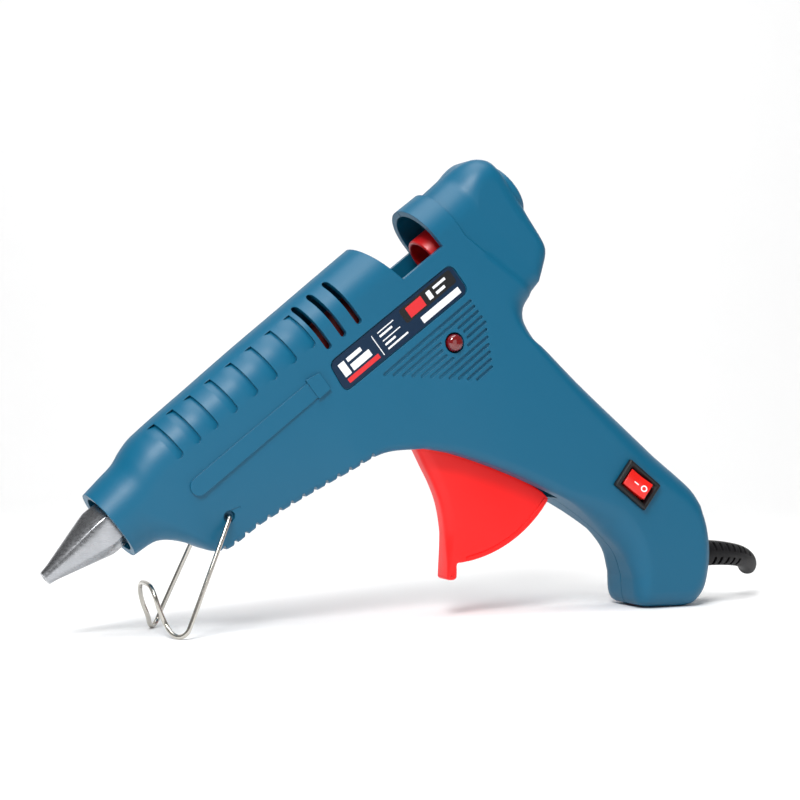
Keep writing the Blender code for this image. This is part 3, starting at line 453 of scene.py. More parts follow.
metals = {
    # Machined aluminium bar: grey-white, with broad reflections that lines break up
    "aluminium": metal("machined_aluminium", "#b4b6ba", 0.28, dull=0.7, patch=6.0),
    # Nickel-plated drawn wire: bright and slightly warm
    "spring_steel": metal("nickel_plated_spring_steel", "#c9c5bd", 0.22, line=0.4, patch=5.0),
    # Barrel-plated zinc: bluish and duller
    "zinc_steel": metal("zinc_plated_steel", "#b4b7bb", 0.34),
    # Stamped sheet brass: yellow, fairly bright
    "brass": metal("stamped_brass", "#d0ab5a", 0.3),
}
finish = {slot: makePlastic(look) for slot, look in plastics.items()}
finish.update({slot: makeMetal(look) for slot, look in metals.items()})

for part in frame["record"]["subparts"]:
    node = frame["nodes"][part["node"]]
    node.data.materials.clear()
    node.data.materials.append(finish[part["material_slot"]])
print("materials made")


# Housing: ribs from the outline to a line inside it, so both halves are one smooth skin
# Each edge shape is its flat height at the seam, and how far in and how high its curve goes.
housing = {
    "rows": 24,                 # points along a rib
    "fine": 3,                  # ribs between two stations
    "round": (0.0, 13.4, 13.4), "bellyFront": (7.2, 2.0, 2.0), "belly": (10.5, 2.0, 2.0),
    "underside": (10.0, 3.5, 3.5), "grip": (2.5, 10.0, 11.0), "butt": (7.0, 6.0, 6.5),
    "rearFace": (9.0, 5.5, 5.5),
    "branch": 160.0, "rear": 184.0,
    "stations": [24.5, 28, 31.5, 34.5, 37.5, 40, 42.5, 45, 48, 53, 60, 70, 80, 92, 104, 114, 124, 134, 142,
                 150, 160],
    "top": [(24.5, 12.2), (31.2, 13.1), (37.0, 13.9), (41.5, 15.6), (47.0, 16.9), (72.0, 17.8),
            (91.0, 18.4), (110.0, 18.7), (125.0, 19.0), (145.0, 19.3), (162.0, 19.2)],
    "bellyLine": [(24.5, 12.2), (31.6, 13.0), (34.5, 14.3), (37.3, 16.9), (40.5, 21.1), (43.2, 25.7),
                  (45.8, 28.0), (49.8, 29.2), (62.4, 29.8), (93.2, 35.2), (107.1, 38.2), (119.7, 46.5)],
    "width": [(24.5, 12.2), (37.0, 12.8), (47.0, 13.2), (72.0, 13.4), (110.0, 13.4), (160.0, 13.4)],
    "rearStations": [162.0, 168.0, 173.8, 174.2, 179.0, 184.0],
    "rearTop": [(162.0, 19.2), (164.0, 18.7), (173.8, 18.6), (174.2, 17.3), (184.0, 17.8)],
    "rearWidth": [(162.0, 13.4), (173.8, 13.3), (174.2, 12.7), (184.0, 12.5)],
    "rearLine": [(184.0, 17.8), (190.0, 18.2), (194.8, 17.4), (198.0, 15.0), (199.2, 11.5), (199.2, 0.0),
                 (198.6, -10.0), (197.9, -19.8), (196.2, -23.4), (192.4, -26.4), (188.4, -29.2)],
    "rearUnder": [(188.4, -29.2), (184.2, -31.0), (181.0, -32.7), (178.9, -34.6)],
    "spine": [(7.2, 118.7), (33.0, 84.0), (52.0, 66.0), (72.0, 50.0), (90.0, 34.0), (100.0, 18.0)],
    "gripBack": [(43.3, 102.2), (43.9, 98.4), (48.1, 92.4), (52.8, 89.1), (66.4, 77.6), (87.6, 60.5),
                 (105.3, 46.0), (110.6, 41.0), (113.5, 36.4)],
    "gripFront": [(4.5, 57.2), (16.2, 55.1), (32.4, 49.9), (48.0, 43.6), (61.8, 37.0), (74.4, 28.0),
                  (82.8, 19.6), (86.2, 11.2)],
    "buttLine": [(113.5, 36.4), (116.5, 28.0), (117.7, 18.2), (115.9, 7.5), (112.4, 2.2), (108.2, 0.2),
                 (97.0, 0.2), (89.6, 0.8), (87.0, 3.4), (86.2, 11.2)],
    "handleWidth": 13.4,
}
details = {
    "window": [(142.1, 30.0), (142.1, 19.1), (146.6, 2.6), (164.9, 2.6), (163.9, 30.0)],
    "openVents": (112.4, 118.9, 125.7), "blindVents": (52.7, 60.0, 67.0, 75.1, 83.6, 91.9, 100.2, 108.2),
    "ventReach": (0.6, 16.2), "ventWidth": 2.3,
    "blindReach": (4.4, 16.4), "blindWidth": 2.9, "blindDepth": 0.95,
    "teeth": (46.5, 4.34, 14), "toothWidth": 2.1, "toothDepth": 1.7,
    "flank": 13.4, "strip": (51.5, 99.5, -6.0, 2.9, 0.45), "clipProud": 0.9,
    "clip": [(99.2, -2.0), (104.4, -3.0), (104.4, -9.4), (99.2, -9.4)],
    "grooves": 11, "groovePitch": 2.2, "grooveTop": -17.6, "grooveDepth": 0.6, "grooveRadius": 0.52,
    "plate": [(108.8, -2.6), (163.8, -3.4), (163.7, -14.9), (107.6, -13.8)], "plateFloor": -12.7,
    "lamp": (148.6, -24.9), "switch": (84.1, 43.7), "switchTilt": 37.5, "gland": (118.2, 17.5),
    "triggerSlot": [(-1.5, 62.0), (-1.5, 50.0), (30.0, 43.0), (56.5, 30.0), (57.3, 39.4), (59.0, 43.0),
                    (60.0, 47.0), (35.0, 56.0), (12.0, 61.5)],
    "boss": [(197.4, 0.0), (197.4, 10.7), (200.4, 10.7), (201.0, 10.1), (201.0, 0.0)], "inletBore": 6.6,
    "slotHalf": 5.4, "glandBore": 5.0, "standHole": (1.9, 10.0), "standPocket": (2.6, 0.9, 3.2, 3.6, 11.55),
    "switchHole": (13.6, 9.3), "lampHole": 3.45, "screwHole": (3.3, 8.9), "plateCorner": 3.0,
    "standPivot": (-63.7, 36.9), "triggerPivot": (15.2, 64.6),
    "screws": [(-49.4, 42.0), (-12.4, 61.5), (37.5, 122.3), (66.5, 60.8), (99.5, 38.6), (93.2, 9.8)],
}


def housingRibs():
    h, fine = housing, housing["fine"]
    ribs, bottom = [], []
    for s in refine(h["stations"], fine):
        width, inner = smoothTable(h["width"], s), at(s, 0.0)
        ribs.append((at(s, smoothTable(h["top"], s)), inner, width, h["round"]))
        lean = s if s < 90.0 else 90.0 + (s - 90.0) * (h["bellyLine"][-1][0] - 90.0) / (h["branch"] - 90.0)
        if s < 48.0:
            edge = blendEdge(h["round"], h["bellyFront"], min(1.0, max(0.0, (s - 31.5) / 16.5)))
        else:
            edge = blendEdge(h["bellyFront"], h["belly"], min(1.0, (s - 48.0) / 60.0))
        bottom.append((at(lean, -smoothTable(h["bellyLine"], lean)), inner, width, edge))
    rearStations = refine(h["rearStations"], fine)
    under = splinePoints(h["rearUnder"], len(rearStations) + 1)[:-1]
    for s in rearStations:
        ribs.append((at(s, lerpTable(h["rearTop"], s)), at(s, 0.0), lerpTable(h["rearWidth"], s), h["round"]))
    rearPoints = splinePoints(h["rearLine"], 15 * fine + 1)
    for i, point in enumerate(rearPoints[1:-1], start=1):
        edge = blendEdge(h["round"], h["rearFace"], min(1.0, i / (5 * fine)))
        ribs.append((at(*point), at(h["rear"], 0.0), h["rearWidth"][-1][1], edge))
    for s, point in zip(rearStations[::-1], under):
        edge = blendEdge(h["rearFace"], h["grip"], (h["rear"] - s) / (h["rear"] - 162.0))
        ribs.append((at(*point), at(s, 0.0), lerpTable(h["rearWidth"], s), edge))
    count = 15 * fine + 1
    back, front = splinePoints(h["gripBack"], count), splinePoints(h["gripFront"], count)
    spine = splinePoints(h["spine"], count)
    frontEdges = [(0.0, h["belly"]), (0.35, h["underside"]), (0.6, h["underside"]), (0.8, h["grip"]),
                  (1.0, h["butt"])]
    for i in range(count):
        edge = blendEdge(h["grip"], h["butt"], max(0.0, i / (count - 1) * 4 - 3))
        ribs.append((back[i], at(h["branch"], 0.0) if i == 0 else spine[i], h["handleWidth"], edge))
    for point in splinePoints(h["buttLine"], 17 * fine + 1)[1:-1]:
        ribs.append((point, spine[-1], h["handleWidth"], h["butt"]))
    for i in reversed(range(1, count)):
        share = i / (count - 1)
        for (low, first), (high, second) in zip(frontEdges, frontEdges[1:]):
            if low <= share <= high:
                edge = blendEdge(first, second, (share - low) / (high - low))
        ribs.append((front[i], spine[i], h["handleWidth"], edge))
    return ribs + bottom[::-1]


def ribHeights(outline, inner, width, edge):
    flat, reach, rise = edge
    length = (inner - outline).length
    reach, rise = min(reach, length), min(rise, width - flat)
    points = [(outline, gun["seam"])]
    for row in range(housing["rows"] + 1):
        share = 1 - math.cos(math.pi / 2 * row / housing["rows"])
        corner = min(1.0, share * length / reach)
        height = flat + rise * math.sqrt(max(0.0, 1 - (1 - corner)**2)) \
            + (width - flat - rise) * (1 - (1 - share)**2)
        points.append((outline.lerp(inner, share), max(height, gun["seam"])))
    return points


def housingShell(side):
    # Neighbouring ribs share their inner ends, which no bridge can tell apart, so the skin is made row by row
    ribs = housingRibs()
    outlines = [rib[0] for rib in ribs]
    wall = gun["wall"]
    bm = bmesh.new()
    outer, inner = [], []
    for i, (outline, middle, width, edge) in enumerate(ribs):
        heading = outlines[min(i + 1, len(ribs) - 1)] - outlines[max(i - 1, 0)]
        inward = Vector((heading.y, -heading.x)).normalized()
        flat, reach, rise = edge
        innerRise = max(min(rise, width - flat) - wall, 0.3)
        innerEdge = (flat + min(rise, width - flat) - wall - innerRise, max(reach - wall, 0.3), innerRise)
        for target, start, breadth, section in ((outer, outline, width, edge),
                                                (inner, outline + inward * wall, width - wall, innerEdge)):
            points = ribHeights(start, middle, breadth, section)
            target.append([bm.verts.new((p.x, side * h, p.y)) for p, h in points])
    for first, second in zip(range(len(ribs) - 1), range(1, len(ribs))):
        for row in range(housing["rows"] + 1):
            bm.faces.new((outer[first][row], outer[second][row],
                          outer[second][row + 1], outer[first][row + 1]))
            bm.faces.new((inner[first][row + 1], inner[second][row + 1],
                          inner[second][row], inner[first][row]))
        bm.faces.new((inner[first][0], inner[second][0], outer[second][0], outer[first][0]))
    for i in (0, len(ribs) - 1):
        for row in range(housing["rows"] + 1):
            bm.faces.new((outer[i][row], outer[i][row + 1], inner[i][row + 1], inner[i][row]))
    bmesh.ops.remove_doubles(bm, verts=bm.verts, dist=0.004)
    bmesh.ops.dissolve_degenerate(bm, edges=bm.edges, dist=0.002)
    return bm


def rectangle(centre, size, tilt):
    along = Vector((math.cos(math.radians(tilt)), -math.sin(math.radians(tilt))))
    across = Vector((-along.y, along.x))
    return [Vector(centre) + along * (size[0] / 2 * a) + across * (size[1] / 2 * b)
            for a, b in ((-1, -1), (1, -1), (1, 1), (-1, 1))]


def makeLouvres(piece, places, side):
    # Blind slots whose floors start flush at the front and are deepest along the rear edge
    half, (low, high) = details["blindWidth"] / 2, details["blindReach"]
    slots, floors = bmesh.new(), bmesh.new()
    for s in places:
        outline = capsule((s, low + half), (s, high), half)[11:] + [at(s + half, high), at(s - half, high)]
        addPrism(slots, outline, side * 2.0, side * 20.0)
        middle, radius = smoothTable(housing["top"], s) - details["flank"], smoothTable(housing["width"], s)
        addRod(floors, spot(s - half - 0.02, t=middle), spot(s + half + 0.02, t=middle), radius + 0.04,
               radius - details["blindDepth"], segments=160)
    tool = makeTool(slots)
    carve(tool, floors)
    carve(piece, tool)


def grooveEnds(index):
    # The grooves fill a triangle behind and around the lamp
    t = details["grooveTop"] - details["groovePitch"] * index
    start = 122.3 + (147.8 - 122.3) * index / 10
    end = 161.8 if index < 4 else 161.8 - (161.8 - 154.5) * (index - 4) / 6
    return t, start, end


def makeHousing(name, side):
    d = details
    piece = makePiece(name, housingShell(side), "housing", finish["housing_blue"],
                      ["housing_left" if side < 0 else "housing_right"])
    first, last, middle, half, proud = d["strip"]
    strip = capsule((first, middle), (last, middle), half)
    carvePrism(piece, strip, side * 12.0, side * (d["flank"] + proud), "UNION")
    carvePrism(piece, placed(d["clip"]), side * 12.0, side * (d["flank"] + d["clipProud"]), "UNION")
    boss = bmesh.new()
    addTurned(boss, d["boss"], spot(0.0, t=1.2), spot(1.0) - spot(0.0), 96, closed=False)
    bmesh.ops.bisect_plane(boss, geom=boss.verts[:] + boss.edges[:] + boss.faces[:],
                           plane_co=(0.0, side * 0.2, 0.0), plane_no=(0.0, side, 0.0), clear_inner=True)
    bmesh.ops.holes_fill(boss, edges=boss.edges)
    carve(piece, boss, "UNION")

    cuts = bmesh.new()
    addPrism(cuts, placed(d["window"]), -25.0, 25.0)
    addRod(cuts, spot(182.5), spot(210.0), d["inletBore"])
    addPrism(cuts, d["triggerSlot"], -d["slotHalf"], d["slotHalf"])
    gland = d["gland"]
    addRod(cuts, (gland[0] - 8.0, 0.0, gland[1]), (gland[0] + 8.0, 0.0, gland[1]), d["glandBore"])
    radius, floor = d["standHole"]
    addPost(cuts, d["standPivot"], radius, side * floor, side * 20.0)
    carve(piece, cuts)
    makeLouvres(piece, d["blindVents"] if side < 0 else d["blindVents"] + d["openVents"], side)
    right, up, length, width, floor = d["standPocket"]
    pocket = rectangle((d["standPivot"][0] + right, d["standPivot"][1] + up), (length, width), -20.0)
    carvePrism(piece, pocket, side * floor, side * 20.0)
    cuts = bmesh.new()
    if side < 0:
        low, high = d["ventReach"]
        half = d["ventWidth"] / 2
        for s in d["openVents"]:
            addPrism(cuts, capsule((s, low + half), (s, high), half), -2.0, -24.0)
        addPrism(cuts, rectangle(d["switch"], d["switchHole"], d["switchTilt"]), -20.0, -8.0)
        addPost(cuts, at(*d["lamp"]), d["lampHole"], -20.0, -7.0)
        addPrism(cuts, roundCorners(placed(d["plate"]), d["plateCorner"]), d["plateFloor"], -22.0)
    else:
        radius, seat = d["screwHole"]
        for place in d["screws"]:
            addPost(cuts, place, radius, seat, 24.0)
    carve(piece, cuts)
    if side < 0:
        cuts = bmesh.new()
        lampS, lampT = d["lamp"]
        for index in range(d["grooves"]):
            t, start, end = grooveEnds(index)
            gap = abs(t - lampT)
            spans = [(start, end)]
            if gap < 4.6:
                half = math.sqrt(4.9**2 - gap**2) + 0.4
                spans = [(start, lampS - half), (lampS + half, end)]
            for a, b in spans:
                addPrism(cuts, capsule((a, t), (b, t), d["grooveRadius"], 4), -20.0,
                         d["grooveDepth"] - d["flank"])
        carve(piece, cuts)
    cuts = bmesh.new()
    first, pitch, count = d["teeth"]
    for i in range(count):
        s = first + pitch * i
        here = at(s, -smoothTable(housing["bellyLine"], s))
        ahead = at(s + 0.5, -smoothTable(housing["bellyLine"], s + 0.5)) - here
        along = ahead.normalized()
        down = Vector((along.y, -along.x))
        wide, deep = d["toothWidth"] / 2, d["toothDepth"]
        outline = [here + along * a + down * b for a, b in
                   ((-wide - 0.9, 2.0), (-wide, 0.1), (-wide * 0.55, -deep * 0.6), (-wide * 0.3, -deep),
                    (wide * 0.3, -deep), (wide * 0.55, -deep * 0.6), (wide, 0.1), (wide + 0.9, 2.0))]
        addPrism(cuts, outline, side * 0.05, side * 20.0)
    carve(piece, cuts)
    return piece


for half, side in (("shell_left", -1), ("shell_right", 1)):
    shell = makeHousing(half, side)
    print(half, len(shell.data.polygons), "faces")


# Nozzle: six-sided bar with its front turned to a cone, so each flat ends in a curve
nozzle = {"cone": [(-0.8, 0.0), (-0.8, 1.9), (-0.5, 2.25), (2.4, 2.8), (21.4, 8.2), (21.6, 9.5), (29.0, 9.5),
                   (29.0, 0.0)],
          "bar": [(-2.0, 0.0), (-2.0, 8.1), (28.6, 8.1), (29.0, 7.7), (29.0, 5.6), (40.0, 5.6), (40.0, 0.0)],
          "rear": [(28.9, 0.0), (28.9, 5.6), (40.0, 5.6), (40.0, 0.0)],
          "bore": [(-2.0, 0.0), (-2.0, 0.95), (4.0, 1.0), (10.0, 2.6), (41.0, 3.6), (41.0, 0.0)],
          "edge": 0.35}


def makeNozzle():
    origin, axis, above = spot(0.0), spot(1.0) - spot(0.0), spot(0.0, t=1.0) - spot(0.0)
    bm = bmesh.new()
    addTurned(bm, nozzle["bar"], origin, axis, 6, closed=False, side=above)
    flats = [e for e in bm.edges if abs((e.verts[0].co - e.verts[1].co).normalized().dot(axis)) > 0.99
             and min((v.co - origin - axis * (v.co - origin).dot(axis)).length for v in e.verts) > 7.5]
    bmesh.ops.bevel(bm, geom=flats, offset=nozzle["edge"], segments=3, profile=0.5, affect="EDGES",
                    material=-1)
    piece = makePiece("nozzle_hex", bm, "housing", finish["aluminium"], ["nozzle"], 24.0)
    cone = bmesh.new()
    addTurned(cone, nozzle["cone"], origin, axis, 128, closed=False)
    whole = makeTool(cone)
    rear = bmesh.new()
    addTurned(rear, nozzle["rear"], origin, axis, 64, closed=False)
    carve(whole, rear, "UNION")
    carve(piece, whole, "INTERSECT")
    bore = bmesh.new()
    addTurned(bore, nozzle["bore"], origin, axis, 48, closed=False)
    carve(piece, bore)


makeNozzle()
print("nozzle made")


# Feed: the sleeve behind the vents and the carriage in the window
feed = {
    "sleeve": [(95.0, 8.8), (95.0, 9.7), (95.3, 9.9), (103.8, 9.9), (104.4, 9.6), (107.0, 8.0), (137.0, 8.0),
               (140.0, 9.2), (140.0, 8.4), (137.0, 6.2), (98.6, 6.2), (98.6, 8.8)],
    "carriage": [(162.2, 6.7), (162.5, 6.3), (163.4, 6.2), (181.5, 6.2), (181.5, 7.7), (163.0, 7.8),
                 (162.5, 7.65), (162.2, 7.2)],
    "ear": [(166.0, -7.0), (168.0, -14.4), (175.0, -14.4), (177.5, -7.0)],
    "clawSlot": [(163.4, -9.0), (176.5, -9.0), (176.5, -4.0), (163.4, -4.0)],
    "clawPivot": (171.5, -11.5), "clawHalf": 1.35, "earSide": (1.4, 3.0),
}


def makeFeed():
    axis = spot(1.0) - spot(0.0)
    bm = bmesh.new()
    addTurned(bm, feed["sleeve"], spot(0.0), axis)
    makePiece("sleeve_tube", bm, "housing", finish["sleeve_red"], ["stick_sleeve"])
    bm = bmesh.new()
    addTurned(bm, feed["carriage"], spot(0.0), axis, 96)
    piece = makePiece("carriage_tube", bm, "carriage", finish["carriage_red"],
                      ["feed_carriage"])
    slit, outside = feed["clawHalf"], feed["earSide"]
    for side in (-1, 1):
        carvePrism(piece, placed(feed["ear"]), side * outside[0], side * outside[1], "UNION")
    carvePrism(piece, placed(feed["clawSlot"]), -slit, slit)
    hole = bmesh.new()
    addPost(hole, at(*feed["clawPivot"]), 1.45, -4.0, 4.0)
    carve(piece, hole)


makeFeed()
print("feed made")


# Trigger: rounded front edge and foot, thin fillets elsewhere, and a bead along its arc
trigger = {
    "half": 4.6, "radius": 46.5, "bead": 1.6, "beadProud": 0.45,
    "reach": [(0, 3.6), (27, 3.6), (36, 1.5), (48, 1.5), (50, 0.5)],     # edge rounding along the outline
    "rear": [(52.0, 41.5), (35.0, 52.0), (21.0, 62.0), (15.2, 69.2), (9.5, 65.5), (6.0, 61.0)],
    "linkHole": (137.4, -20.8), "armHalf": 2.9,
    "front": [(4.0, 58.5), (7.7, 51.4), (11.3, 44.6), (13.9, 37.8), (15.4, 29.3), (15.8, 20.0), (15.7, 13.6)],
    "foot": [(15.9, 13.1), (16.4, 12.7), (17.2, 12.6), (18.3, 12.65), (19.0, 13.0), (19.3, 13.6),
             (19.4, 14.6), (19.4, 17.2), (19.5, 18.0)],
}


def arcPoints(centre, radius, first, last, steps):
    angles = [math.radians(first + (last - first) * i / steps) for i in range(steps + 1)]
    return [Vector((centre[0] + radius * math.cos(a), centre[1] + radius * math.sin(a))) for a in angles]


def makeTrigger():
    pivot = details["triggerPivot"]
    front = splinePoints(trigger["front"], 40)
    arc = arcPoints(pivot, trigger["radius"], -84.2, -33.0, 48)
    outline = front + [Vector(p) for p in trigger["foot"]] + arc + [Vector(p) for p in trigger["rear"]]
    count = len(outline)
    inwards = []
    for i in range(count):
        heading = (outline[(i + 1) % count] - outline[i - 1]).normalized()
        inwards.append(Vector((-heading.y, heading.x)))
    bm = bmesh.new()
    steps = 8
    levels = [(1 - math.sin(math.pi / 2 * k / steps), math.cos(math.pi / 2 * k / steps))
              for k in range(steps + 1)]
    loops = []
    for sign, ordered in ((-1, levels), (1, levels[::-1])):
        for inset, height in ordered:
            loop = []
            for i, point in enumerate(outline):
                reach = lerpTable(trigger["reach"], i)
                depth = reach * 0.9
                place = point + inwards[i] * reach * inset
                loop.append((place.x, sign * (trigger["half"] - depth + depth * height), place.y))
            loops.append(loop)
    capRings(bm, loops)
    sides = [f for f in bm.faces if len(f.verts) > 4]
    rims = [list(f.edges) for f in sides]
    bmesh.ops.delete(bm, geom=sides, context="FACES_ONLY")
    for rim in rims:                     # a fill that can't fold over itself where the outline turns in
        bmesh.ops.triangle_fill(bm, edges=rim, use_beauty=True)
    piece = makePiece("trigger_blade", bm, "trigger", finish["trigger_red"], ["trigger"], 40.0)
    wide = trigger["half"] + trigger["beadProud"]
    outer = arcPoints(pivot, trigger["radius"] - 0.12, -80.5, -34.0, 48)
    inner = arcPoints(pivot, trigger["radius"] - trigger["bead"], -34.0, -80.5, 48)
    carvePrism(piece, outer + inner, -wide, wide, "UNION")
    near, far = Vector(pivot), at(*trigger["linkHole"])
    across = (far - near).normalized()
    side = Vector((-across.y, across.x)) * 4.2
    end = far + across * 3.6
    arm = [near - side, end - side * 0.7, end + side * 0.7, near + side]
    carvePrism(piece, arm, -trigger["armHalf"], trigger["armHalf"], "UNION")
    hole = bmesh.new()
    addPost(hole, pivot, 2.05, -8.0, 8.0)
    addPost(hole, far, 1.6, -8.0, 8.0)
    carve(piece, hole)


makeTrigger()
print("trigger made")


# Stand: one bent wire
stand = {"radius": 0.75, "side": 12.8, "sides": 24, "legPoints": 48, "crimp": 0.4,     # crimp softens a sharp bend
         "foot": [(-77.3, 16.6, 5.6), (-78.8, 16.4, 2.2), (-80.6, 14.6, 0.8), (-82.4, 12.2, 1.6),
                  (-83.8, 9.6, 4.6)],
         "apex": [(-85.6, 9.2, 9.0), (-86.7, 8.2, 13.0), (-87.2, 5.2, 15.6), (-87.3, 0.0, 16.2)]}


def makeStand():
    x, z = details["standPivot"]
    side = stand["side"]
    hook = [(x, 8.6, z), (x, side - 0.9, z), (x - 0.5, side - 0.1, z - 0.9)]
    half = [Vector(p) for p in hook] + splinePoints(stand["foot"] + stand["apex"], stand["legPoints"])
    path = [Vector((p.x, -p.y, p.z)) for p in half[:-1]] + half[::-1]
    corners = [path[0]]
    for before, here, after in zip(path, path[1:], path[2:]):
        if min((here - before).length, (after - here).length) < 0.9:
            corners.append(here)
            continue
        corners += [here + (end - here).normalized() * stand["crimp"] for end in (before, after)]
    corners.append(path[-1])
    bm = bmesh.new()
    sweepTube(bm, corners, [stand["radius"]] * len(corners), stand["sides"])
    makePiece("stand_bent_wire", bm, "stand", finish["spring_steel"], ["stand_wire"], 50.0)


makeStand()
print("stand made")


# Switch: bezel with sloping inner walls, rocker with its two marks
switch = {"face": -13.4, "bezel": (15.3, 10.9), "proud": 1.9, "well": (11.2, 7.0), "body": (12.9, 8.6),
          "depth": 11.5, "throw": 20.0, "markHeight": 0.05, "dash": -0.5, "ringPlace": 2.75,
          "ring": (1.15, 0.7)}


def addBoxLoops(bm, levels):
    loops = []
    for (length, width), y, radius in levels:
        corners = rectangle(details["switch"], (length, width), details["switchTilt"])
        outline = roundCorners(corners, radius, 4)
        loops.append([(p.x, y, p.y) for p in outline])
    capRings(bm, loops)


def makeSwitch():
    face, (length, width) = switch["face"], switch["bezel"]
    front = face - switch["proud"]
    wellLength, wellWidth = switch["well"]
    bm = bmesh.new()
    addBoxLoops(bm, [
        (switch["body"], face + switch["depth"], 0.3), (switch["body"], face - 0.1, 0.3),
        ((length, width), face - 0.1, 0.5), ((length, width), front + 0.7, 0.5),
        ((length - 0.5, width - 0.5), front + 0.2, 0.5), ((length - 1.2, width - 1.2), front, 0.5),
        ((wellLength + 1.3, wellWidth + 1.3), front + 0.05, 0.4), ((wellLength, wellWidth), front + 1.1, 0.3),
        ((wellLength, wellWidth), face + 5.2, 0.3)])
    makePiece("switch_bezel", bm, "housing", finish["black_plastic"], ["switch_body"], 25.0)


def rockerFrame():
    angle = math.radians(details["switchTilt"])
    along = Vector((math.cos(angle), 0.0, -math.sin(angle)))
    across = Vector((math.sin(angle), 0.0, math.cos(angle)))
    centre = Vector((details["switch"][0], switch["face"] + 1.6, details["switch"][1]))
    rest = math.radians(switch["throw"] / 2)

    def place(a, h, w):
        turned = (a * math.cos(rest) - h * math.sin(rest), a * math.sin(rest) + h * math.cos(rest))
        return centre + along * turned[0] - Vector((0.0, turned[1], 0.0)) + across * w
    return place


def rockerTop(a):
    return 3.4 + 0.6 * (abs(a) / 4.8)**1.3


def makeRocker():
    place = rockerFrame()
    top = [(a / 10 * 4.8, rockerTop(a / 10 * 4.8)) for a in range(-10, 11)]
    section = [(-4.6, -2.2), (-4.8, top[0][1] - 0.3), (-4.65, top[0][1] - 0.05)] + top[1:-1] \
        + [(4.65, top[0][1] - 0.05), (4.8, top[0][1] - 0.3), (4.6, -2.2), (0.0, -2.9)]
    bm = bmesh.new()
    loops = []
    for w, shrink in ((-3.1, 0.25), (-3.02, 0.08), (-2.85, 0.0), (2.85, 0.0), (3.02, 0.08), (3.1, 0.25)):
        loops.append([place(a * (1 - shrink * 0.05), h - shrink if h > 0 else h, w) for a, h in section])
    capRings(bm, loops)
    makePiece("rocker_cap", bm, "rocker", finish["rocker_red"], ["switch_rocker"], 30.0)

    dash = [(-0.95, -0.22), (0.95, -0.22), (0.95, 0.22), (-0.95, 0.22)]
    outlines = [[(switch["dash"] + a, w) for a, w in dash]]
    count, (outer, inner) = 32, switch["ring"]
    for j in range(count):
        turns = (2 * math.pi * j / count, 2 * math.pi * (j + 1) / count)
        spokes = [(math.cos(turn), math.sin(turn)) for turn in turns]
        outlines.append([(switch["ringPlace"] + radius * spokes[k][0], radius * spokes[k][1])
                         for radius, k in ((outer, 0), (outer, 1), (inner, 1), (inner, 0))])
    bm = bmesh.new()
    addMarks(bm, place, outlines)
    makePiece("rocker_marks", bm, "rocker", finish["print_white"])


def addMarks(bm, place, outlines):
    # Thin printed shapes that follow the rocker's face, and start a little under it
    sunk = 0.05
    for outline in outlines:
        bm.faces.new([bm.verts.new(place(a, rockerTop(a) - sunk, w)) for a, w in outline])
    bmesh.ops.remove_doubles(bm, verts=bm.verts, dist=0.001)
    moved = bmesh.ops.extrude_face_region(bm, geom=bm.faces[:])["geom"]
    top = [v for v in moved if isinstance(v, bmesh.types.BMVert)]
    rise = place(0.0, sunk + switch["markHeight"], 0.0) - place(0.0, 0.0, 0.0)
    bmesh.ops.translate(bm, verts=top, vec=rise)


makeSwitch()
makeRocker()
print("switch made")


# Lamp: a domed lens in its hole
lamp = {"lens": [(5.4, 0.0), (5.4, 1.8), (10.4, 1.8), (10.4, 2.85), (13.1, 2.9), (13.9, 2.8),
                                (14.5, 2.5), (14.95, 1.95), (15.15, 1.2), (15.22, 0.0)]}


def makeLamp():
    bm = bmesh.new()
    place = at(*details["lamp"])
    addTurned(bm, lamp["lens"], (place.x, 0.0, place.y), (0.0, -1.0, 0.0), 48, closed=False)
    makePiece("lamp_dome", bm, "housing", finish["lamp_red"], ["lamp_lens"], 40.0)


makeLamp()
print("lamp made")


# Cord boot: domed flange, tapering sleeve and rows of slots
boot = {
    "lead": [(-6.4, 6.4), (-4.4, 6.4), (-4.3, 4.6), (-0.2, 4.6), (0.1, 6.5), (0.5, 6.65), (1.0, 6.4),
             (1.5, 5.8), (1.9, 5.1), (2.2, 4.9)],
    "path": [(0.0, 0.0, 0.0), (5.7, 0.0, 0.0), (13.1, 0.8, -0.6), (20.5, 3.0, -1.8), (26.0, 6.0, -3.6),
             (29.4, 9.0, -5.6), (30.8, 11.4, -7.2)],
    "radii": (4.75, 3.3), "bore": 2.8, "slots": 7, "firstSlot": 5.6, "pitch": 3.0, "slotWidth": 1.25,
    "slotDepth": 1.1, "slotTurn": 26.0,
}


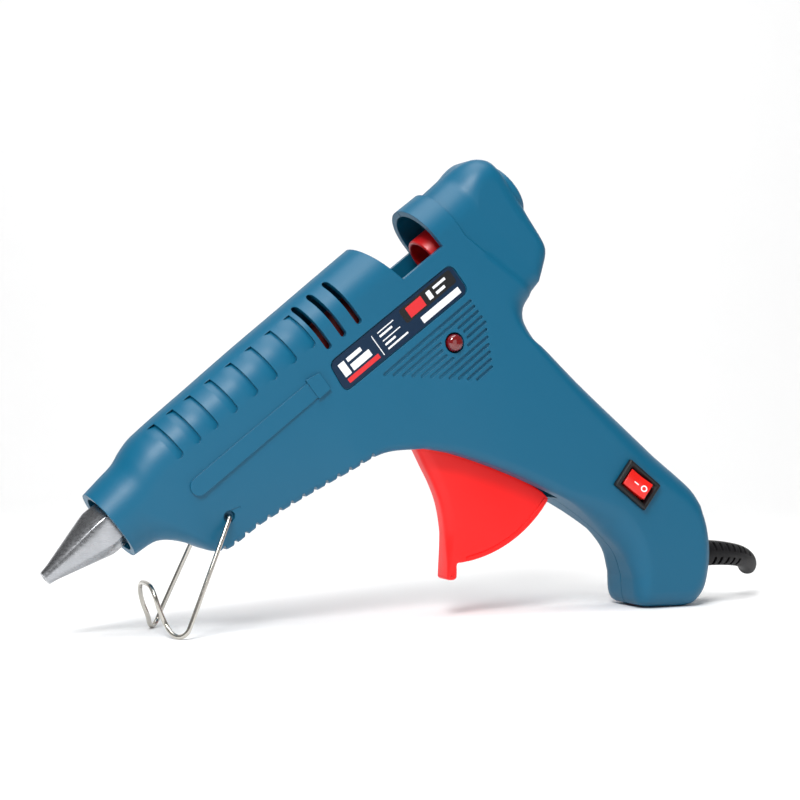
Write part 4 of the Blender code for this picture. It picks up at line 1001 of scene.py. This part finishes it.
def makeBoot():
    x, z = details["gland"]
    start = Vector((x, 0.0, z))
    bend = [start + p for p in splinePoints(boot["path"], 90)]
    first = max(i for i, p in enumerate(bend) if p.x < x + 2.4) + 1
    path = [start + Vector((d, 0.0, 0.0)) for d, r in boot["lead"]] + bend[first:]
    radii = [r for d, r in boot["lead"]]
    wide, narrow = boot["radii"]
    body = len(bend) - first
    for i in range(body):
        radii.append(wide + (narrow - wide) * i / (body - 1))
    radii[-1] -= 0.5
    radii[-2] -= 0.15
    bm = bmesh.new()
    sweepTube(bm, path, radii, 40, [boot["bore"]] * len(path))
    piece = makePiece("cord_boot", bm, "housing", finish["boot_rubber"], ["strain_relief"],
                      40.0)
    cuts = bmesh.new()
    lengths = [0.0]
    for p, q in zip(bend, bend[1:]):
        lengths.append(lengths[-1] + (q - p).length)
    for i in range(boot["slots"]):
        distance = boot["firstSlot"] + boot["pitch"] * i
        k = min(range(len(lengths)), key=lambda j: abs(lengths[j] - distance))
        if k >= len(bend) - 3:
            break
        tangent = (bend[k + 1] - bend[k - 1]).normalized()
        outward = Vector((0.0, -1.0, 0.0))
        outward = (outward - tangent * outward.dot(tangent)).normalized()
        above = tangent.cross(outward)
        radius = wide + (narrow - wide) * (k - first) / (body - 1)
        for turn in (38.0, -38.0, 142.0, -142.0):
            if abs(turn) < 90 and turn > 0 and i > 4:
                continue
            angle = math.radians(turn)
            normal = outward * math.cos(angle) + above * math.sin(angle)
            around = tangent.cross(normal)
            shape = Matrix((tangent, around, normal)).transposed().to_4x4()
            shape.translation = bend[k] + normal * radius
            size = Matrix.Diagonal((boot["slotWidth"], radius * math.radians(boot["slotTurn"]) * 1.7,
                                    boot["slotDepth"] * 2, 1.0))
            bmesh.ops.create_cube(cuts, size=1.0, matrix=shape @ size)
    carve(piece, cuts)


makeBoot()
print("boot made")


# Plate: a thin film with plain blocks and lines printed on it
plate = {
    "outline": [(109.2, -3.0), (163.4, -3.8), (163.3, -14.5), (108.0, -13.4)], "face": -12.8, "thick": 0.35,
    "black": [[(138.8, -4.4), (161.9, -4.6), (161.9, -9.6), (138.8, -9.6)]],
    "white": [[(111.0, -5.2), (113.6, -5.2), (113.6, -10.0), (111.0, -10.0)],
              [(114.6, -5.2), (120.8, -5.2), (120.8, -6.6), (114.6, -6.6)],
              [(114.6, -7.6), (122.8, -7.6), (122.8, -10.0), (114.6, -10.0)],
              [(126.0, -5.0), (126.3, -5.0), (126.3, -12.6), (126.0, -12.6)],
              [(128.4, -5.4), (135.6, -5.4), (135.6, -5.75), (128.4, -5.75)],
              [(128.4, -6.6), (134.0, -6.6), (134.0, -7.3), (128.4, -7.3)],
              [(128.4, -8.6), (136.2, -8.6), (136.2, -8.95), (128.4, -8.95)],
              [(128.4, -9.9), (133.0, -9.9), (133.0, -10.6), (128.4, -10.6)],
              [(128.4, -11.6), (137.4, -11.6), (137.4, -12.2), (128.4, -12.2)],
              [(150.2, -5.6), (152.0, -5.6), (152.0, -8.6), (150.2, -8.6)],
              [(153.4, -5.6), (159.0, -5.6), (159.0, -6.5), (153.4, -6.5)],
              [(153.4, -7.6), (157.4, -7.6), (157.4, -8.6), (153.4, -8.6)],
              [(143.8, -10.9), (161.0, -11.1), (161.0, -13.4), (143.8, -13.2)]],
    "red": [[(111.0, -10.7), (124.6, -10.8), (124.6, -12.4), (111.0, -12.3)],
            [(141.2, -5.2), (148.2, -5.2), (148.2, -9.0), (141.2, -9.0)]],
    "mark": 0.04,
}


def makePlate():
    top = plate["face"] - plate["thick"]
    bm = bmesh.new()
    addPrism(bm, roundCorners(placed(plate["outline"]), 2.7), plate["face"], top)
    makePiece("plate_film", bm, "housing", finish["plate_navy"], ["name_plate"])
    for name, level in (("black", 1), ("white", 2), ("red", 2)):
        bm = bmesh.new()
        for corners in plate[name]:
            radius = 0.9 if name == "black" else 0.12
            outline = roundCorners(placed(corners), radius, 3)
            addPrism(bm, outline, top + 0.02, top - plate["mark"] * level)
        makePiece(f"plate_print_{name}", bm, "housing", finish[f"print_{name}"])


makePlate()
print("plate made")


# Screws: pan heads with a cross, seen from the other side
screw = {"seat": 8.9, "head": 2.8, "height": 2.0, "shaft": 1.45, "tip": -8.6, "cross": (3.0, 0.75),
         "crossDepth": 1.1}


def makeScrews():
    for index, (x, z) in enumerate(details["screws"], start=1):
        seat, head, height, shaft, tip = (screw[k] for k in ("seat", "head", "height", "shaft", "tip"))
        profile = [(tip, 0.0), (tip + shaft, shaft), (seat, shaft), (seat, head),
                   (seat + height * 0.45, head)]
        profile += [(seat + height * (0.45 + 0.55 * math.sin(a)), head * (0.6 + 0.4 * math.cos(a)))
                    for a in (math.radians(d) for d in (20, 40, 60, 75, 90))]
        profile.append((seat + height, 0.0))
        bm = bmesh.new()
        addTurned(bm, profile, (x, 0.0, z), (0.0, 1.0, 0.0), 32, closed=False)
        piece = makePiece(f"screw_{index}", bm, "housing", finish["zinc_steel"],
                          [f"housing_screw_{index}"])
        turn = 20.0 + 37.0 * index               # each screw stopped at its own angle
        for tilt in (turn, turn + 90.0):
            carvePrism(piece, rectangle((x, z), screw["cross"], tilt),
                       seat + height - screw["crossDepth"], seat + height + 1.0)


makeScrews()
print("screws made")


# Studio: a pale sweep and soft lights
studio = {"pale": "#ffffff", "world": 0.18, "near": -900.0, "far": 500.0, "bend": 300.0, "height": 1500.0,
          "halfWidth": 1800.0, "lights": {
    "key": (8.8, 0.35, (-0.5, -0.6, 0.75)), "top": (6.5, 0.7, (-0.1, -0.1, 1.0)),
    "fill": (1.2, 0.6, (0.15, -1.1, 0.12)), "rim": (3.0, 0.6, (0.55, 0.75, 0.6))}}


def makeStudio():
    bpy.context.scene.view_settings.view_transform = "Standard"   # plain colours, as in a catalogue
    unit = gun["millimetre"]
    turn = math.radians(camera["azimuth"])
    into = Vector((-math.sin(turn), math.cos(turn), 0.0))
    across = Vector((into.y, -into.x, 0.0))
    near, far, bend, height = (studio[k] for k in ("near", "far", "bend", "height"))
    profile = [(near, 0.0), (far, 0.0)]
    profile += [(far + bend * math.sin(math.radians(a)), bend - bend * math.cos(math.radians(a)))
                for a in range(10, 91, 10)]
    profile.append((far + bend, height))
    reach = studio["halfWidth"]
    bm = bmesh.new()
    line = [bm.verts.new((into * depth - across * reach + Vector((0.0, 0.0, height))) * unit)
            for depth, height in profile]
    edges = [bm.edges.new(pair) for pair in zip(line, line[1:])]
    moved = bmesh.ops.extrude_edge_only(bm, edges=edges)["geom"]
    side = [v for v in moved if isinstance(v, bmesh.types.BMVert)]
    bmesh.ops.translate(bm, verts=side, vec=across * (2 * reach * unit))
    bmesh.ops.recalc_face_normals(bm, faces=bm.faces)
    mesh = bpy.data.meshes.new("studio_sweep")
    bm.to_mesh(mesh)
    bm.free()
    mesh.shade_smooth()
    sweep = bpy.data.objects.new("studio_sweep", mesh)
    bpy.context.scene.collection.objects.link(sweep)
    material, tree, shader = newMaterial("painted_backdrop_pale")
    shader.inputs["Base Color"].default_value = linear(studio["pale"])
    shader.inputs["Roughness"].default_value = 0.9
    mesh.materials.append(material)

    world = bpy.data.worlds.new("studio")
    bpy.context.scene.world = world
    world.use_nodes = True
    background = world.node_tree.nodes["Background"]
    background.inputs["Color"].default_value = linear(studio["pale"])
    background.inputs["Strength"].default_value = studio["world"]

    middle = Vector((0.0, 0.0, 0.075))
    for name, (power, size, place) in studio["lights"].items():
        data = bpy.data.lights.new(f"light_{name}", "AREA")
        data.energy = power
        data.size = size
        light = bpy.data.objects.new(f"light_{name}", data)
        bpy.context.scene.collection.objects.link(light)
        light.location = place
        light.rotation_euler = (middle - light.location).to_track_quat("-Z", "Y").to_euler()


makeStudio()
print("studio made")
